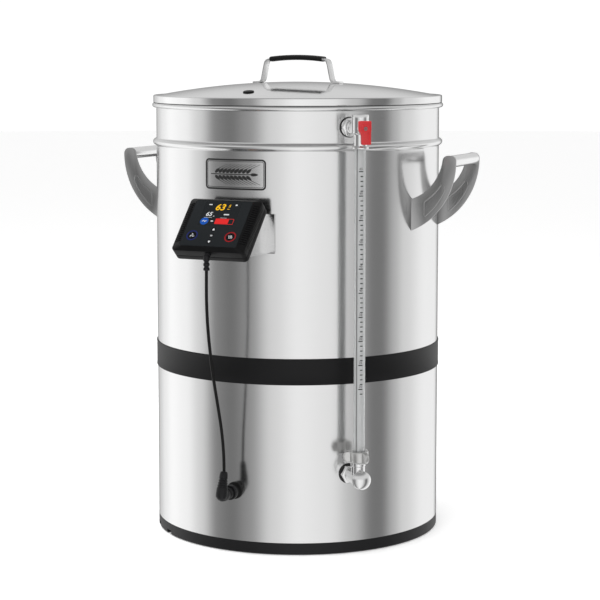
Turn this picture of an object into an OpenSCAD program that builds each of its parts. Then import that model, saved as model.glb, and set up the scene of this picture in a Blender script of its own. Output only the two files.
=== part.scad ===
// Electric all-in-one brewer: kettle on a skirt, lid, grain basket, pump, element,
// sight tube with a shut-off cock, carrying handles and a plug-in controller.
// Millimetres, +Z up, origin on the floor under the kettle's axis.
// The front faces -Y. Azimuths are degrees from the front, towards +X.

/* [Kettle and skirt] */
// Outside diameter of the kettle and its skirt
body_d = 420; // [340:1:500]
// Height of the rolled rim above the floor
rim_z = 634; // [540:1:760]
// Thickness of the kettle wall
kettle_wall = 1.5; // [1:0.1:2]
// Thickness of the skirt wall
skirt_wall = 1.5; // [1:0.1:2]
// Height of the underside of the kettle's floor
floor_z = 98; // [96:1:112]
// Thickness of the kettle's floor
floor_t = 1.5; // [1:0.1:2.5]
// Height of the seam between the kettle and the skirt
seam_z = 262.5; // [200:0.5:300]
// Radius of the wire-rolled rim
rim_roll_r = 3.5; // [2.5:0.1:4]
// How far the rolled rim stands out of the wall
rim_proud = 6; // [5:0.1:6.5]
// Drop from the rim to the swaged bead
bead_drop = 57.5; // [50:0.5:64]
// Radius of the swaged bead
bead_r = 5; // [3:0.1:6]

/* [Silicone band] */
// Height of the band over the seam
band_h = 37; // [24:0.5:44]
// Thickness of the band
band_t = 1.5; // [1:0.1:3]

/* [Base] */
// Height of the moulded base ring's top
base_h = 17.3; // [14:0.1:24]
// Radial width of the base ring
base_w = 34; // [28:1:40]
// How far the rubber pads lift the base ring
pad_lift = 1; // [0.5:0.1:2]
// Radius of a rubber pad
pad_r = 9; // [6:0.5:10]
// Width of a vent notch
notch_w = 15; // [8:0.5:18]
// Height of a vent notch
notch_h = 7; // [4:0.5:9]
// Azimuth of the first vent notch
notch_first = -39.6; // [-45:0.1:-35]
// Angle between vent notches
notch_pitch = 14.7; // [13:0.1:16]
// Number of vent notches
notch_n = 14; // [4:1:15]

/* [Lid] */
// Outside radius of the lid's band past the wall
lid_overhang = 4.3; // [3:0.1:5]
// Height of the lid's band
lid_band_h = 10.7; // [8:0.1:14]
// Rise of the dome above the band
lid_rise = 19; // [12:0.5:30]
// Thickness of the lid's sheet
lid_t = 1.5; // [1:0.1:2]
// Gap between the closed lid and the rim
lid_gap = 0.3; // [0.2:0.1:0.6]
// Depth of the lid's locating lip
lid_lip_h = 18; // [12:1:24]
// Radius from the axis to the vent hole
vent_radial = 164; // [120:1:166]
// Radius of the vent hole
vent_r = 5.5; // [4:0.5:8]
// Half the length of the lid handle over its feet
lid_handle_half = 71; // [64:1:80]
// Height of the handle's grip top above the dome's apex
lid_handle_rise = 40; // [32:1:50]
// Width of the handle's strap
strap_w = 16; // [12:1:20]
// Thickness of the handle's strap
strap_t = 2.5; // [2:0.1:3]

/* [Side handles] */
// Distance between the outer faces of a handle's two arms
handle_w = 100; // [90:1:120]
// Thickness of an arm
arm_t = 2.5; // [2:0.1:3]
// Drop from the rim to the grip's axis
grip_drop = 80; // [74:1:90]
// Reach of the grip's axis past the wall
grip_reach = 50.8; // [46:0.2:56]
// Radius of the grip tube
grip_r = 8.5; // [7:0.5:9]
// Wall of the grip tube
grip_wall = 1.5; // [1:0.1:2]

/* [Front badge] */
// Width of the badge
badge_w = 95; // [60:1:110]
// Height of the badge
badge_h = 43; // [30:1:44]
// Drop from the rim to the badge's centre
badge_drop = 95.5; // [90:0.5:100]

/* [Controller] */
// Drop from the rim to the centre of the controller's face
ctrl_drop = 159.6; // [155:0.1:165]
// Distance from the wall to the centre of the face
ctrl_reach = 55; // [55:0.5:70]
// Lean of the face back from upright
ctrl_tilt = 42.8; // [40:0.1:45]
// Width of the controller
ctrl_w = 111; // [104:1:116]
// Height of the controller along its face
ctrl_h = 91; // [88:1:94]
// Depth of the controller
ctrl_d = 31; // [30:0.5:34]
// Depth of the front shell
ctrl_front_d = 16; // [14:0.5:18]
// Wall of the controller's shells
ctrl_wall = 2; // [1.5:0.1:3]
// Width of the face panel
panel_w = 87; // [84:1:90]
// Height of the face panel
panel_h = 79.4; // [76:0.2:82]
// Thickness of the face panel
panel_t = 1.2; // [0.8:0.1:1.6]
// Radius of the two round keys
round_key_r = 6; // [5:0.5:7]
// Radius of the three small keys
small_key_r = 3.6; // [3:0.1:4]
// Travel of a key
key_travel = 0.8; // [0.4:0.1:1]
// Gap around a key
key_gap = 0.3; // [0.2:0.05:0.5]

/* [Sight tube] */
// Azimuth of the sight tube
tube_az = 45; // [35:1:55]
// Distance from the wall to the tube's axis
tube_reach = 40; // [34:1:46]
// Outside radius of the tube
tube_r = 8; // [6:0.5:9]
// Wall of the tube
tube_wall = 2; // [1.5:0.1:3]
// Drop from the rim to the upper port's axis
upper_drop = 29.4; // [27:0.1:31]
// Height of the lower port's axis
lower_port_z = 116; // [114:1:122]
// Radius of the ports' threads
port_r = 7; // [6:0.5:8]

/* [Grain basket] */
// Gap between the basket and the kettle wall
basket_gap = 13; // [12:0.5:20]
// Wall of the basket
basket_wall = 1.2; // [1:0.1:2]
// Height of the basket's floor
basket_floor_z = 150; // [140:1:170]
// Drop from the rim to the basket's top
basket_top_drop = 30; // [26:1:60]
// Thickness of a perforated plate
plate_t = 1.5; // [1:0.1:2]
// Radius of the plates' drain holes
drain_r = 5; // [3:0.5:6]
// Radius of the overflow pipe
pipe_r = 16; // [12:0.5:20]

/* [Hidden] */
$fn = 96;

// Shells
body_r = body_d / 2;
shell_r = body_r - skirt_wall;
kettle_in_r = body_r - kettle_wall;
lower_in_r = shell_r - kettle_wall;
wall_top_z = rim_z - rim_roll_r;
bead_z = rim_z - bead_drop;
floor_top = floor_z + floor_t;

// Base
ring_in_r = body_r - base_w;
plate_r = body_r - 20;
screw_ring_r = body_r - 27;
pad_ring_r = body_r - 17;

// Lid
lid_bottom = rim_z + lid_gap;
lid_shoulder = lid_bottom + lid_band_h;
dome_r = body_r - 5;
dome_ball = (pow(dome_r, 2) + pow(lid_rise, 2)) / (2 * lid_rise);
dome_top = lid_shoulder + lid_rise;
dome_centre = dome_top - dome_ball;
vent_tilt = asin(vent_radial / dome_ball);
lid_grip_top = dome_top + lid_handle_rise;

// Side handles
grip_z = rim_z - grip_drop;
grip_radial = body_r + grip_reach;

// Controller
ctrl_z = rim_z - ctrl_drop;
ctrl_radial = body_r + ctrl_reach;
key_under = 3.4;
round_key_x = 29.3;
round_key_y = -22;
small_key_y = [-10.5, -21, -31.5];
board_z = -11;

// Sight tube
tube_radial = body_r + tube_reach;
upper_z = rim_z - upper_drop;
tube_low = lower_port_z + 22;
tube_high = upper_z - 20;

// Pump and controls under the floor
pump_az = 150;
pump_radial = 70;
pump_z = 62;

// Basket
basket_r = lower_in_r - basket_gap;
basket_in_r = basket_r - basket_wall;
basket_top = rim_z - basket_top_drop;
basket_leg_z = floor_top + 0.3;
pipe_top = basket_top - 40;
collar_h = 3;
top_plate_z = basket_floor_z + 1.5 + plate_t + collar_h + 0.3;
plate_gap = 0.5;

// Cord
cord_r = 2.25;
socket_z = 90;
cord_end = 124;
cord_route = [
    [-1.5, -291, 412], [-1.5, -291.3, 400], [-1.5, -291.4, 388], [-1.5, -291.4, 376],
    [-1.4, -291.1, 364], [-1.3, -290.4, 352], [-1.2, -289.4, 340], [-1, -288, 328],
    [-0.9, -286.2, 316], [-0.8, -283.9, 304], [-0.8, -281.3, 292], [-0.7, -278.8, 280],
    [-0.6, -275.8, 268], [-0.5, -272.6, 256], [-0.4, -269.1, 244], [-0.3, -265.4, 232],
    [-0.2, -261.8, 220], [-0.1, -258.2, 208], [0, -254.7, 196], [0, -251.5, 184],
    [0, -248.8, 172], [0, -246.7, 160], [0, -245.2, 148], [0, -244.3, 136], [0, -244, 124]];

// Turns its children to an azimuth.
module at_az(a) {
    rotate([0, 0, a]) children();
}

// Puts its children at a point on a vertical plane, with their +Z pointing out of the wall.
module outward(a, radial, z) {
    at_az(a) translate([0, -radial, z]) rotate([90, 0, 0]) children();
}

// Puts its children in the controller's frame: X across, Y up the face, Z out of the face.
module on_controller() {
    translate([0, -ctrl_radial, ctrl_z]) rotate([90 - ctrl_tilt, 0, 0]) children();
}

// A flat plate with rounded corners, from z0 to z1.
module slab(w, h, r, z0, z1) {
    translate([0, 0, z0])
        linear_extrude(z1 - z0)
            union() {
                square([w - 2 * r, h], center = true);
                square([w, h - 2 * r], center = true);
                for (sx = [-1, 1], sy = [-1, 1])
                    translate([sx * (w / 2 - r), sy * (h / 2 - r)]) circle(r, $fn = 32);
            }
}

module tube(r, wall, h) {
    difference() {
        cylinder(r = r, h = h);
        translate([0, 0, -1]) cylinder(r = r - wall, h = h + 2);
    }
}

module hex(across, h) {
    cylinder(r = across / sqrt(3), h = h, $fn = 6);
}

// A ring in the shape of a rectangle turned about the Z axis.
module band_ring(r_in, r_out, z0, z1) {
    rotate_extrude() translate([r_in, z0]) square([r_out - r_in, z1 - z0]);
}

// ---- Kettle, skirt and base ----

module kettle() {
    color("silver")
        difference() {
            rotate_extrude()
                difference() {
                    union() {
                        polygon([
                            [0, floor_z], [shell_r, floor_z], [shell_r, seam_z], [body_r, seam_z],
                            [body_r, wall_top_z], [kettle_in_r, wall_top_z],
                            [kettle_in_r, seam_z + 5], [lower_in_r, seam_z + 2],
                            [lower_in_r, floor_top], [0, floor_top]]);
                        translate([body_r, bead_z])
                            intersection() {
                                circle(bead_r, $fn = 48);
                                translate([-kettle_wall, -bead_r]) square([2 * bead_r, 2 * bead_r]);
                            }
                        translate([body_r + rim_proud - rim_roll_r, wall_top_z])
                            circle(rim_roll_r, $fn = 48);
                    }
                    translate([body_r, bead_z]) circle(bead_r - kettle_wall, $fn = 48);
                    translate([body_r + rim_proud - rim_roll_r, wall_top_z])
                        circle(rim_roll_r - 1.2, $fn = 48);
                }
            outward(tube_az, body_r - 20, upper_z) cylinder(r = port_r, h = 40);
            outward(tube_az, body_r - 20, lower_port_z) cylinder(r = port_r, h = 40);
            outward(180, body_r - 20, probe_z) cylinder(r = probe_r, h = 40);
            at_pump(floor_z - 5) cylinder(r = spigot_r, h = 20);
        }
}

probe_z = 118;
probe_r = 4;
spigot_r = 8;

// Puts its children on the pump's axis, with -Y pointing to the outlet in the wall.
module at_pump(z) {
    at_az(pump_az) translate([0, -pump_radial, z]) children();
}

module skirt() {
    color("silver")
        difference() {
            rotate_extrude()
                union() {
                    translate([shell_r, base_h]) square([skirt_wall, seam_z - base_h]);
                    translate([ring_in_r, base_h]) square([base_w, skirt_wall]);
                }
            outward(0, body_r - 20, socket_z) cylinder(r = socket_r, h = 40);
            outward(tube_az, body_r - 20, lower_port_z) cylinder(r = port_r, h = 40);
            outward(180, body_r - 20, probe_z) cylinder(r = probe_r, h = 40);
            outward(180, body_r - 20, inlet_z) slab(inlet_w, inlet_h, 3, 0, 40);
            outward(pump_az, body_r - 20, pump_z) cylinder(r = outlet_r, h = 40);
            for (i = [0:5]) at_az(30 + 60 * i) translate([0, -screw_ring_r, base_h - 1])
                cylinder(r = screw_r, h = 5);
        }
}

socket_r = 7;
inlet_z = 62;
inlet_w = 32;
inlet_h = 24;
screw_r = 2;
outlet_r = 8;

module silicone_band() {
    color("#1d1d1f")
        rotate_extrude()
            translate([body_r, seam_z - band_h / 2])
                polygon([[0, 0], [band_t - 0.4, 0], [band_t, 0.4], [band_t, band_h - 0.4],
                         [band_t - 0.4, band_h], [0, band_h]]);
}

module base_ring() {
    color("#202020")
        difference() {
            rotate_extrude()
                polygon([[ring_in_r, pad_lift], [body_r - 1, pad_lift], [body_r, pad_lift + 1],
                         [body_r, base_h], [plate_r, base_h], [plate_r, base_h - plate_t],
                         [ring_in_r, base_h - plate_t]]);
            for (i = [0:notch_n - 1])
                at_az(notch_first - notch_pitch * i)
                    translate([-notch_w / 2, -body_r - 5, 0]) cube([notch_w, base_w + 10, notch_h]);
            for (a = pad_az) at_az(a) translate([0, -pad_ring_r, 0]) cylinder(r = pad_r, h = 4);
            for (i = [0:5])
                at_az(30 + 60 * i) translate([0, -screw_ring_r, 0]) {
                    cylinder(r = 2 * screw_r + 0.4, h = 9);
                    cylinder(r = screw_r, h = base_h + 1);
                }
        }
}

pad_az = [45, notch_first - 0.5 * notch_pitch, notch_first - 6.5 * notch_pitch,
          notch_first - 12.5 * notch_pitch];

module base_plate() {
    color("#9a9a9c")
        difference() {
            translate([0, 0, base_h - plate_t]) cylinder(r = plate_r, h = plate_t);
            for (i = [0:5]) at_az(30 + 60 * i) translate([0, -screw_ring_r, base_h - 5])
                cylinder(r = screw_r, h = 10);
            for (i = [0:9], k = [0:1])
                at_az(36 * i + 18 * k) translate([-2.5, -130 + 40 * k, base_h - 5]) cube([5, 28, 10]);
        }
}

module base_screws() {
    color("#3c3c3e")
        for (i = [0:5])
            at_az(30 + 60 * i) translate([0, -screw_ring_r, 0]) {
                translate([0, 0, 9]) cylinder(r = screw_r, h = base_h - 9 + 2 * skirt_wall);
                translate([0, 0, 6.5]) cylinder(r = 2 * screw_r, h = 2.5);
            }
}

module rubber_pads() {
    color("#151515")
        for (a = pad_az) at_az(a) translate([0, -pad_ring_r, 0]) cylinder(r = pad_r, h = 4);
}

// ---- Side handles and badge ----

// Outline of a handle arm: X is the distance from the kettle's axis, Y is the height.
module arm_outline() {
    outer_r = 108.2;
    inner_r = 70.3;
    inner_rise = 12;
    head_spare = 3.3;
    head_w = 2 * grip_r + head_spare;
    head_x = grip_radial + grip_r - head_w / 2;
    inner_x = head_x - head_w / 2 - sqrt(pow(inner_r, 2) - pow(inner_rise, 2));
    union() {
        difference() {
            intersection() {
                translate([grip_radial + grip_r - outer_r, grip_z]) circle(outer_r, $fn = 128);
                translate([body_r - 20, grip_z - 120]) square([grip_reach + 40, 120]);
            }
            translate([inner_x, grip_z + inner_rise]) circle(inner_r, $fn = 128);
        }
        intersection() {
            union() {
                for (s = [-1, 1]) translate([head_x + s * head_spare / 2, grip_z]) circle(grip_r);
                translate([head_x, grip_z]) square([head_spare, 2 * grip_r], center = true);
            }
            translate([body_r, grip_z]) square([grip_reach + 40, 20]);
        }
    }
}

// A folded arm on the +X, +Y side: flat out to the grip, and flared where it meets the wall.
module arm_shape() {
    flare_r = 60;
    flare_start = body_r + 12;
    y_out = handle_w / 2;
    intersection() {
        rotate([90, 0, 0])
            translate([0, 0, -handle_w])
                linear_extrude(2 * handle_w) arm_outline();
        translate([0, 0, grip_z - 110])
            linear_extrude(140)
                difference() {
                    union() {
                        translate([flare_start, y_out - arm_t]) square([grip_reach + 20, arm_t]);
                        intersection() {
                            translate([flare_start, y_out + flare_r - arm_t / 2])
                                difference() {
                                    circle(flare_r + arm_t / 2, $fn = 128);
                                    circle(flare_r - arm_t / 2, $fn = 128);
                                }
                            translate([body_r - 16, y_out - arm_t - 1]) square([28, 17]);
                        }
                    }
                    circle(body_r, $fn = 192);
                }
    }
}

module handle_arm_right_front() { color("silver") mirror([0, 1, 0]) arm_shape(); }
module handle_arm_right_rear() { color("silver") arm_shape(); }
module handle_arm_left_front() { color("silver") rotate([0, 0, 180]) arm_shape(); }
module handle_arm_left_rear() { color("silver") rotate([0, 0, 180]) mirror([0, 1, 0]) arm_shape(); }

module handle_grip(side) {
    color("gainsboro")
        translate([side * grip_radial, handle_w / 2 - arm_t, grip_z])
            rotate([90, 0, 0]) tube(grip_r, grip_wall, handle_w - 2 * arm_t);
}
module handle_grip_right() { handle_grip(1); }
module handle_grip_left() { handle_grip(-1); }

module badge() {
    color("#2a2a2a")
        intersection() {
            band_ring(body_r, body_r + 0.3, rim_z - badge_drop - badge_h, rim_z - badge_drop + badge_h);
            outward(0, body_r, rim_z - badge_drop) slab(badge_w, badge_h, 6, -20, 20);
        }
}

// ---- Lid ----

module lid_shell() {
    out_r = body_r + lid_overhang;
    color("lightgray")
        difference() {
            union() {
                rotate_extrude()
                    polygon([[dome_r - 1, lid_shoulder], [out_r - 1, lid_shoulder],
                             [out_r, lid_shoulder - 1], [out_r, lid_bottom],
                             [out_r - lid_t, lid_bottom],
                             [out_r - lid_t, lid_shoulder - lid_t], [dome_r - 1, lid_shoulder - lid_t]]);
                intersection() {
                    translate([0, 0, dome_centre])
                        difference() {
                            sphere(dome_ball, $fn = 200);
                            sphere(dome_ball - lid_t, $fn = 200);
                        }
                    translate([0, 0, lid_shoulder - 3]) cylinder(r = dome_r, h = lid_rise + 10);
                }
            }
            on_dome() translate([0, 0, -10]) cylinder(r = vent_r, h = 20);
        }
}

// Puts its children on the dome at the vent hole, with +Z out of the sheet.
module on_dome() {
    translate([0, 0, dome_centre]) rotate([vent_tilt, 0, 0]) translate([0, 0, dome_ball]) children();
}

module lid_ring() {
    ring_r = kettle_in_r - 1.5;
    color("gray")
        band_ring(ring_r - lid_t, ring_r, lid_shoulder - lid_t - lid_lip_h, lid_shoulder - lid_t);
}

module vent_bung() {
    color("#161616")
        on_dome() {
            translate([0, 0, -lid_t - 2]) cylinder(r = vent_r, h = lid_t + 2.1);
            translate([0, 0, 0.05]) cylinder(r = vent_r + 2.5, h = 1.95);
            translate([0, 0, -lid_t - 2]) cylinder(r1 = vent_r, r2 = vent_r + 1.5, h = 1.9);
        }
}

arch_half = 46;
arch_sag = 3;
arch_r = (pow(arch_half, 2) + pow(arch_sag, 2)) / (2 * arch_sag);

// The top of the handle: a shallow arch of the given thickness, centred on the strap.
module arch(half, t) {
    mid_z = lid_grip_top - 4;
    translate([0, mid_z - arch_r])
        intersection() {
            difference() {
                circle(arch_r + t / 2, $fn = 256);
                circle(arch_r - t / 2, $fn = 256);
            }
            translate([-half, 0]) square([2 * half, 2 * arch_r]);
        }
}

// One leg of the strap with its foot, on the +X side.
module strap_leg() {
    top = lid_grip_top - 4 - arch_sag;
    foot_in = 57;
    foot_z = dome_centre + sqrt(pow(dome_ball, 2) - pow(foot_in, 2));
    foot_end_z = dome_centre + sqrt(pow(dome_ball, 2) - pow(lid_handle_half, 2));
    polygon([[arch_half - 2, top + strap_t / 2 + 0.3], [arch_half + 3, top + strap_t / 2 - 0.5],
             [arch_half + 5, top - 2], [foot_in + 1.5, foot_z + strap_t + 3],
             [foot_in + 4, foot_z + strap_t + 0.6], [lid_handle_half, foot_end_z + strap_t],
             [lid_handle_half, foot_end_z], [foot_in, foot_z], [foot_in - 2, foot_z + 2],
             [arch_half + 1.5, top - strap_t], [arch_half - 2, top - strap_t / 2]]);
}

module lid_handle_strap() {
    color("silver")
        rotate([90, 0, 0])
            translate([0, 0, -strap_w / 2])
                union() {
                    linear_extrude(strap_w) arch(arch_half - 1, strap_t);
                    linear_extrude(strap_w) strap_leg();
                    mirror([1, 0, 0]) linear_extrude(strap_w) strap_leg();
                }
}

module lid_handle_grip() {
    sleeve_w = strap_w + 5;
    color("#1b1b1c")
        rotate([90, 0, 0])
            difference() {
                translate([0, 0, -sleeve_w / 2]) linear_extrude(sleeve_w) arch(arch_half - 3, 8);
                translate([0, 0, -strap_w / 2]) linear_extrude(strap_w) arch(arch_half + 5, strap_t);
            }
}

// ---- Controller ----

// A cheek of the controller's bracket, with a flange that stands on the kettle's wall.
module bracket_cheek(cheek_x, sheet) {
    flange_w = 13;
    low = ctrl_z - 45;
    high = ctrl_z + 10;
    flange_y = -sqrt(pow(body_r, 2) - pow(cheek_x, 2)) - sheet;
    translate([cheek_x - sheet / 2, 0, 0])
        rotate([90, 0, 90])
            linear_extrude(sheet)
                polygon([[-body_r + 12, low], [-back_r(-45), low],
                         [-back_r(10), high], [-body_r + 12, high]]);
    translate([cheek_x - sheet / 2, flange_y, low]) cube([flange_w, sheet, high - low]);
}

module controller_bracket() {
    cheek_x = 48;
    sheet = 1.5;
    color("lightgray")
        difference() {
            union() {
                bracket_cheek(cheek_x, sheet);
                mirror([1, 0, 0]) bracket_cheek(cheek_x, sheet);
                on_controller() slab(2 * cheek_x, 60, 4, -ctrl_d - sheet, -ctrl_d);
            }
            cylinder(r = body_r, h = rim_z);
        }
}

// Distance from the axis to the controller's back plane at height dz above its face centre.
function back_r(dz) = ctrl_radial - (ctrl_d + dz * sin(ctrl_tilt)) / cos(ctrl_tilt);

module controller_back() {
    color("#1a1a1b")
        on_controller()
            difference() {
                hull() {
                    slab(ctrl_w, ctrl_h, 6, -ctrl_front_d - 8, -ctrl_front_d);
                    slab(ctrl_w - 14, ctrl_h - 12, 6, -ctrl_d, -ctrl_d + 1);
                }
                slab(ctrl_w - 14, ctrl_h - 14, 4, -ctrl_d + ctrl_wall, 1);
            }
}

module controller_front() {
    bevel_d = 4;
    color("#1e1e1f")
        difference() {
            on_controller()
                difference() {
                    hull() {
                        slab(panel_w + 2, panel_h + 2, 4, -1, 0);
                        slab(ctrl_w, ctrl_h, 6, -bevel_d - 1, -bevel_d);
                        slab(ctrl_w, ctrl_h, 6, -ctrl_front_d, -ctrl_front_d + 1);
                    }
                    slab(panel_w, panel_h, 3, -panel_t, 1);
                    slab(ctrl_w - 2 * ctrl_wall - 6, ctrl_h - 2 * ctrl_wall - 6, 4, -ctrl_front_d - 1, -3.2);
                    translate([0, window_y, 0]) slab(window_w, window_h, 2, -5, 1);
                    for (k = keys) translate([k[0], k[1], -5]) cylinder(r = k[2] + key_gap, h = 10);
                }
            gland_elbow() rotate([-90, 0, 0]) cylinder(r = gland_r, h = gland_stub);
        }
}

window_w = 56;
window_h = 42;
window_y = 17;
keys = [[0, small_key_y[0], small_key_r], [0, small_key_y[1], small_key_r],
        [0, small_key_y[2], small_key_r], [-round_key_x, round_key_y, round_key_r],
        [round_key_x, round_key_y, round_key_r]];
gland_r = 4.4;
gland_x = -1.5;
gland_depth = 11.1;
gland_drop = 4.7;
gland_stub = 11;
gland_h = 18;
gland_y = ctrl_radial + (ctrl_h / 2 + gland_drop) * sin(ctrl_tilt) - gland_depth * cos(ctrl_tilt);
gland_z = ctrl_z - (ctrl_h / 2 + gland_drop) * cos(ctrl_tilt) - gland_depth * sin(ctrl_tilt);

// Puts its children at the gland's elbow, in the controller's frame.
module gland_elbow() {
    on_controller() translate([gland_x, -ctrl_h / 2 - gland_drop, -gland_depth]) children();
}

module face_panel() {
    color("#33363a")
        on_controller()
            difference() {
                slab(panel_w, panel_h, 3, -panel_t, 0);
                translate([0, window_y, 0]) slab(window_w, window_h, 2, -5, 5);
                for (k = keys) translate([k[0], k[1], -5]) cylinder(r = k[2] + key_gap, h = 10);
            }
}

module display_window() {
    color("#101418")
        on_controller() translate([0, window_y, 0]) slab(window_w, window_h, 2, -3.2, 0);
}

module circuit_board() {
    color("darkgreen")
        on_controller() {
            slab(panel_w - 10, panel_h - 10, 2, board_z, board_z + 1.6);
            translate([0, window_y, 0]) slab(window_w - 4, window_h - 4, 1, board_z + 1.6, -3.2);
        }
}

// A key: a cap in the panel with a flange under the front shell.
module key(k) {
    color("#111214")
        on_controller()
            translate([k[0], k[1], 0])
                difference() {
                    union() {
                        translate([0, 0, -key_under - 2]) cylinder(r = k[2], h = key_under + 2.3);
                        translate([0, 0, -key_under - 2]) cylinder(r = k[2] + 1, h = 2 - 0.1);
                    }
                    translate([0, 0, 3 * k[2]]) sphere(3 * k[2] - 0.1);
                }
}
module key_up() { key(keys[0]); }
module key_set() { key(keys[1]); }
module key_down() { key(keys[2]); }
module key_pump() { key(keys[3]); }
module key_heat() { key(keys[4]); }

// A strain relief with an elbow: a stub into the shell and a ribbed sleeve straight down.
module controller_gland() {
    color("#121213") {
        union() {
            gland_elbow() rotate([-90, 0, 0]) cylinder(r = gland_r, h = gland_stub);
            gland_elbow() sphere(gland_r);
            translate([gland_x, -gland_y, gland_z - gland_h]) {
                cylinder(r = 3.4, h = gland_h);
                for (z = [0, 6.5, 13]) translate([0, 0, z]) cylinder(r = gland_r, h = 4);
            }
        }
    }
}

// ---- Cord: rings swept along the route ----

function unit(v) = v / norm(v);
function along(i) =
    unit(cord_route[min(i + 1, len(cord_route) - 1)] - cord_route[max(i - 1, 0)]);
function ring_at(i) =
    let (t = i == 0 || i == len(cord_route) - 1 ? [0, 0, -1] : along(i),
         e = unit(cross(t, [0, 1, 0])),
         f = cross(t, e))
    [for (k = [0:cord_sides - 1])
        cord_route[i] + cord_r * (cos(360 * k / cord_sides) * e + sin(360 * k / cord_sides) * f)];

cord_sides = 10;

module controller_cord() {
    n = len(cord_route);
    points = [for (i = [0:n - 1]) each ring_at(i)];
    sides = [for (i = [0:n - 2], k = [0:cord_sides - 1])
        let (a = i * cord_sides + k, b = i * cord_sides + (k + 1) % cord_sides)
        [a, b, b + cord_sides, a + cord_sides]];
    first = [for (k = [0:cord_sides - 1]) cord_sides - 1 - k];
    last = [for (k = [0:cord_sides - 1]) (n - 1) * cord_sides + k];
    color("#141415") polyhedron(points = points, faces = concat([first], sides, [last]), convexity = 6);
}

plug_radial = 41;
plug_nose_r = 8.2;

module cord_plug() {
    radial = body_r + plug_radial;
    color("#191a1b")
        union() {
            hull() {
                translate([0, cord_route[len(cord_route) - 1][1], cord_end - 1])
                    cylinder(r = 5, h = 1, $fn = 32);
                translate([0, -radial - 1, socket_z + 2]) sphere(8.4, $fn = 32);
            }
            outward(0, body_r + 17, socket_z) cylinder(r = plug_nose_r, h = plug_radial - 17);
        }
}

module plug_collar() {
    color("#0f0f10")
        outward(0, body_r + 10, socket_z)
            difference() {
                cylinder(r = 10.5, h = 9);
                translate([0, 0, 7]) cylinder(r = plug_nose_r, h = 5);
                translate([0, 0, -1]) cylinder(r = 8, h = 8);
            }
}

module wall_socket() {
    color("#161617")
        outward(0, body_r, socket_z)
            union() {
                difference() {
                    translate([0, 0, -1]) cylinder(r = 12.2, h = 5);
                    rotate([-90, 0, 0]) translate([0, body_r, -20]) cylinder(r = body_r, h = 40);
                }
                translate([0, 0, -20]) cylinder(r = socket_r, h = 24);
                translate([0, 0, 3]) cylinder(r = 8, h = 14);
            }
}

// ---- Sight tube and its fittings ----

port_hex = 24;

module sight_tube() {
    color("lightcyan", 0.4)
        at_az(tube_az) translate([0, -tube_radial, tube_low]) tube(tube_r, tube_wall, tube_high - tube_low);
}

// A threaded tail through the wall, a hexagon against the seal and a barrel out to the cock.
module upper_port() {
    color("silver")
        difference() {
            union() {
                outward(tube_az, body_r - 12, upper_z) cylinder(r = port_r, h = 14);
                outward(tube_az, body_r + 2, upper_z) hex(port_hex, 8);
                outward(tube_az, body_r + 10, upper_z) cylinder(r = 8.5, h = tube_reach - 10);
                at_az(tube_az) translate([0, -tube_radial, 0]) {
                    translate([0, 0, upper_z - 7]) cylinder(r = 12, h = 26);
                    translate([0, 0, upper_z - 24]) cylinder(r = 9.8, h = 18);
                    translate([0, 0, upper_z - 28]) cylinder(r1 = 12.2, r2 = 9.8, h = 4);
                }
            }
            at_az(tube_az) translate([0, -tube_radial, 0]) {
                translate([0, 0, upper_z - 40]) cylinder(r = tube_r, h = 20);
                translate([0, 0, upper_z - 21]) cylinder(r = 3.5, h = 21);
            }
            outward(tube_az, body_r - 20, upper_z) cylinder(r = 4, h = tube_reach + 12);
            outward(tube_az, tube_radial - cock_back, upper_z) cylinder(r = cock_r + cock_gap, h = 30);
        }
}

cock_r = 5;
cock_gap = 0.05;
cock_back = 8;

module port_seals() {
    color("#111111") {
        port_seal(upper_z);
        port_seal(lower_port_z);
    }
}

// A rubber washer between a fitting's hexagon and the wall, cut to the wall's curve.
module port_seal(z) {
    difference() {
        outward(tube_az, body_r - 4, z) cylinder(r = 14.5, h = 6);
        outward(tube_az, body_r - 8, z) cylinder(r = port_r, h = 12);
        cylinder(r = body_r, h = rim_z, $fn = 256);
    }
}

module port_nuts() {
    color("silver") {
        port_nut(upper_z, kettle_in_r);
        port_nut(lower_port_z, lower_in_r);
    }
}

// A nut inside the kettle, on a fitting's threaded tail.
module port_nut(z, wall_r) {
    outward(tube_az, wall_r - 9, z)
        difference() {
            hex(20, 8);
            translate([0, 0, -1]) cylinder(r = port_r, h = 12);
        }
}

lever_radial = 13.5;

// The cock's plug: a spindle with an angled waterway, in at the back and out downwards.
module cock_plug() {
    color("goldenrod")
        difference() {
            outward(tube_az, tube_radial - cock_back, upper_z)
                cylinder(r = cock_r, h = lever_radial + cock_back);
            outward(tube_az, tube_radial - cock_back - 1, upper_z) cylinder(r = 3, h = cock_back + 1);
            at_az(tube_az) translate([0, -tube_radial, upper_z - 10]) cylinder(r = 3, h = 10);
        }
}

// A flat lever on the spindle's end, with a turned-down grip and its fixing screw.
module cock_lever() {
    color("crimson")
        outward(tube_az, tube_radial + lever_radial, upper_z)
            union() {
                cylinder(r = 9, h = 6);
                translate([-9, 0, 0]) cube([18, 10.5, 6]);
                linear_extrude(6) polygon([[-8.4, -2], [8.4, -2], [8.4, -22], [-4.2, -22], [-4.2, -10]]);
                translate([0, 0, 6]) cylinder(r = 2.6, h = 1.2);
            }
}

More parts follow.
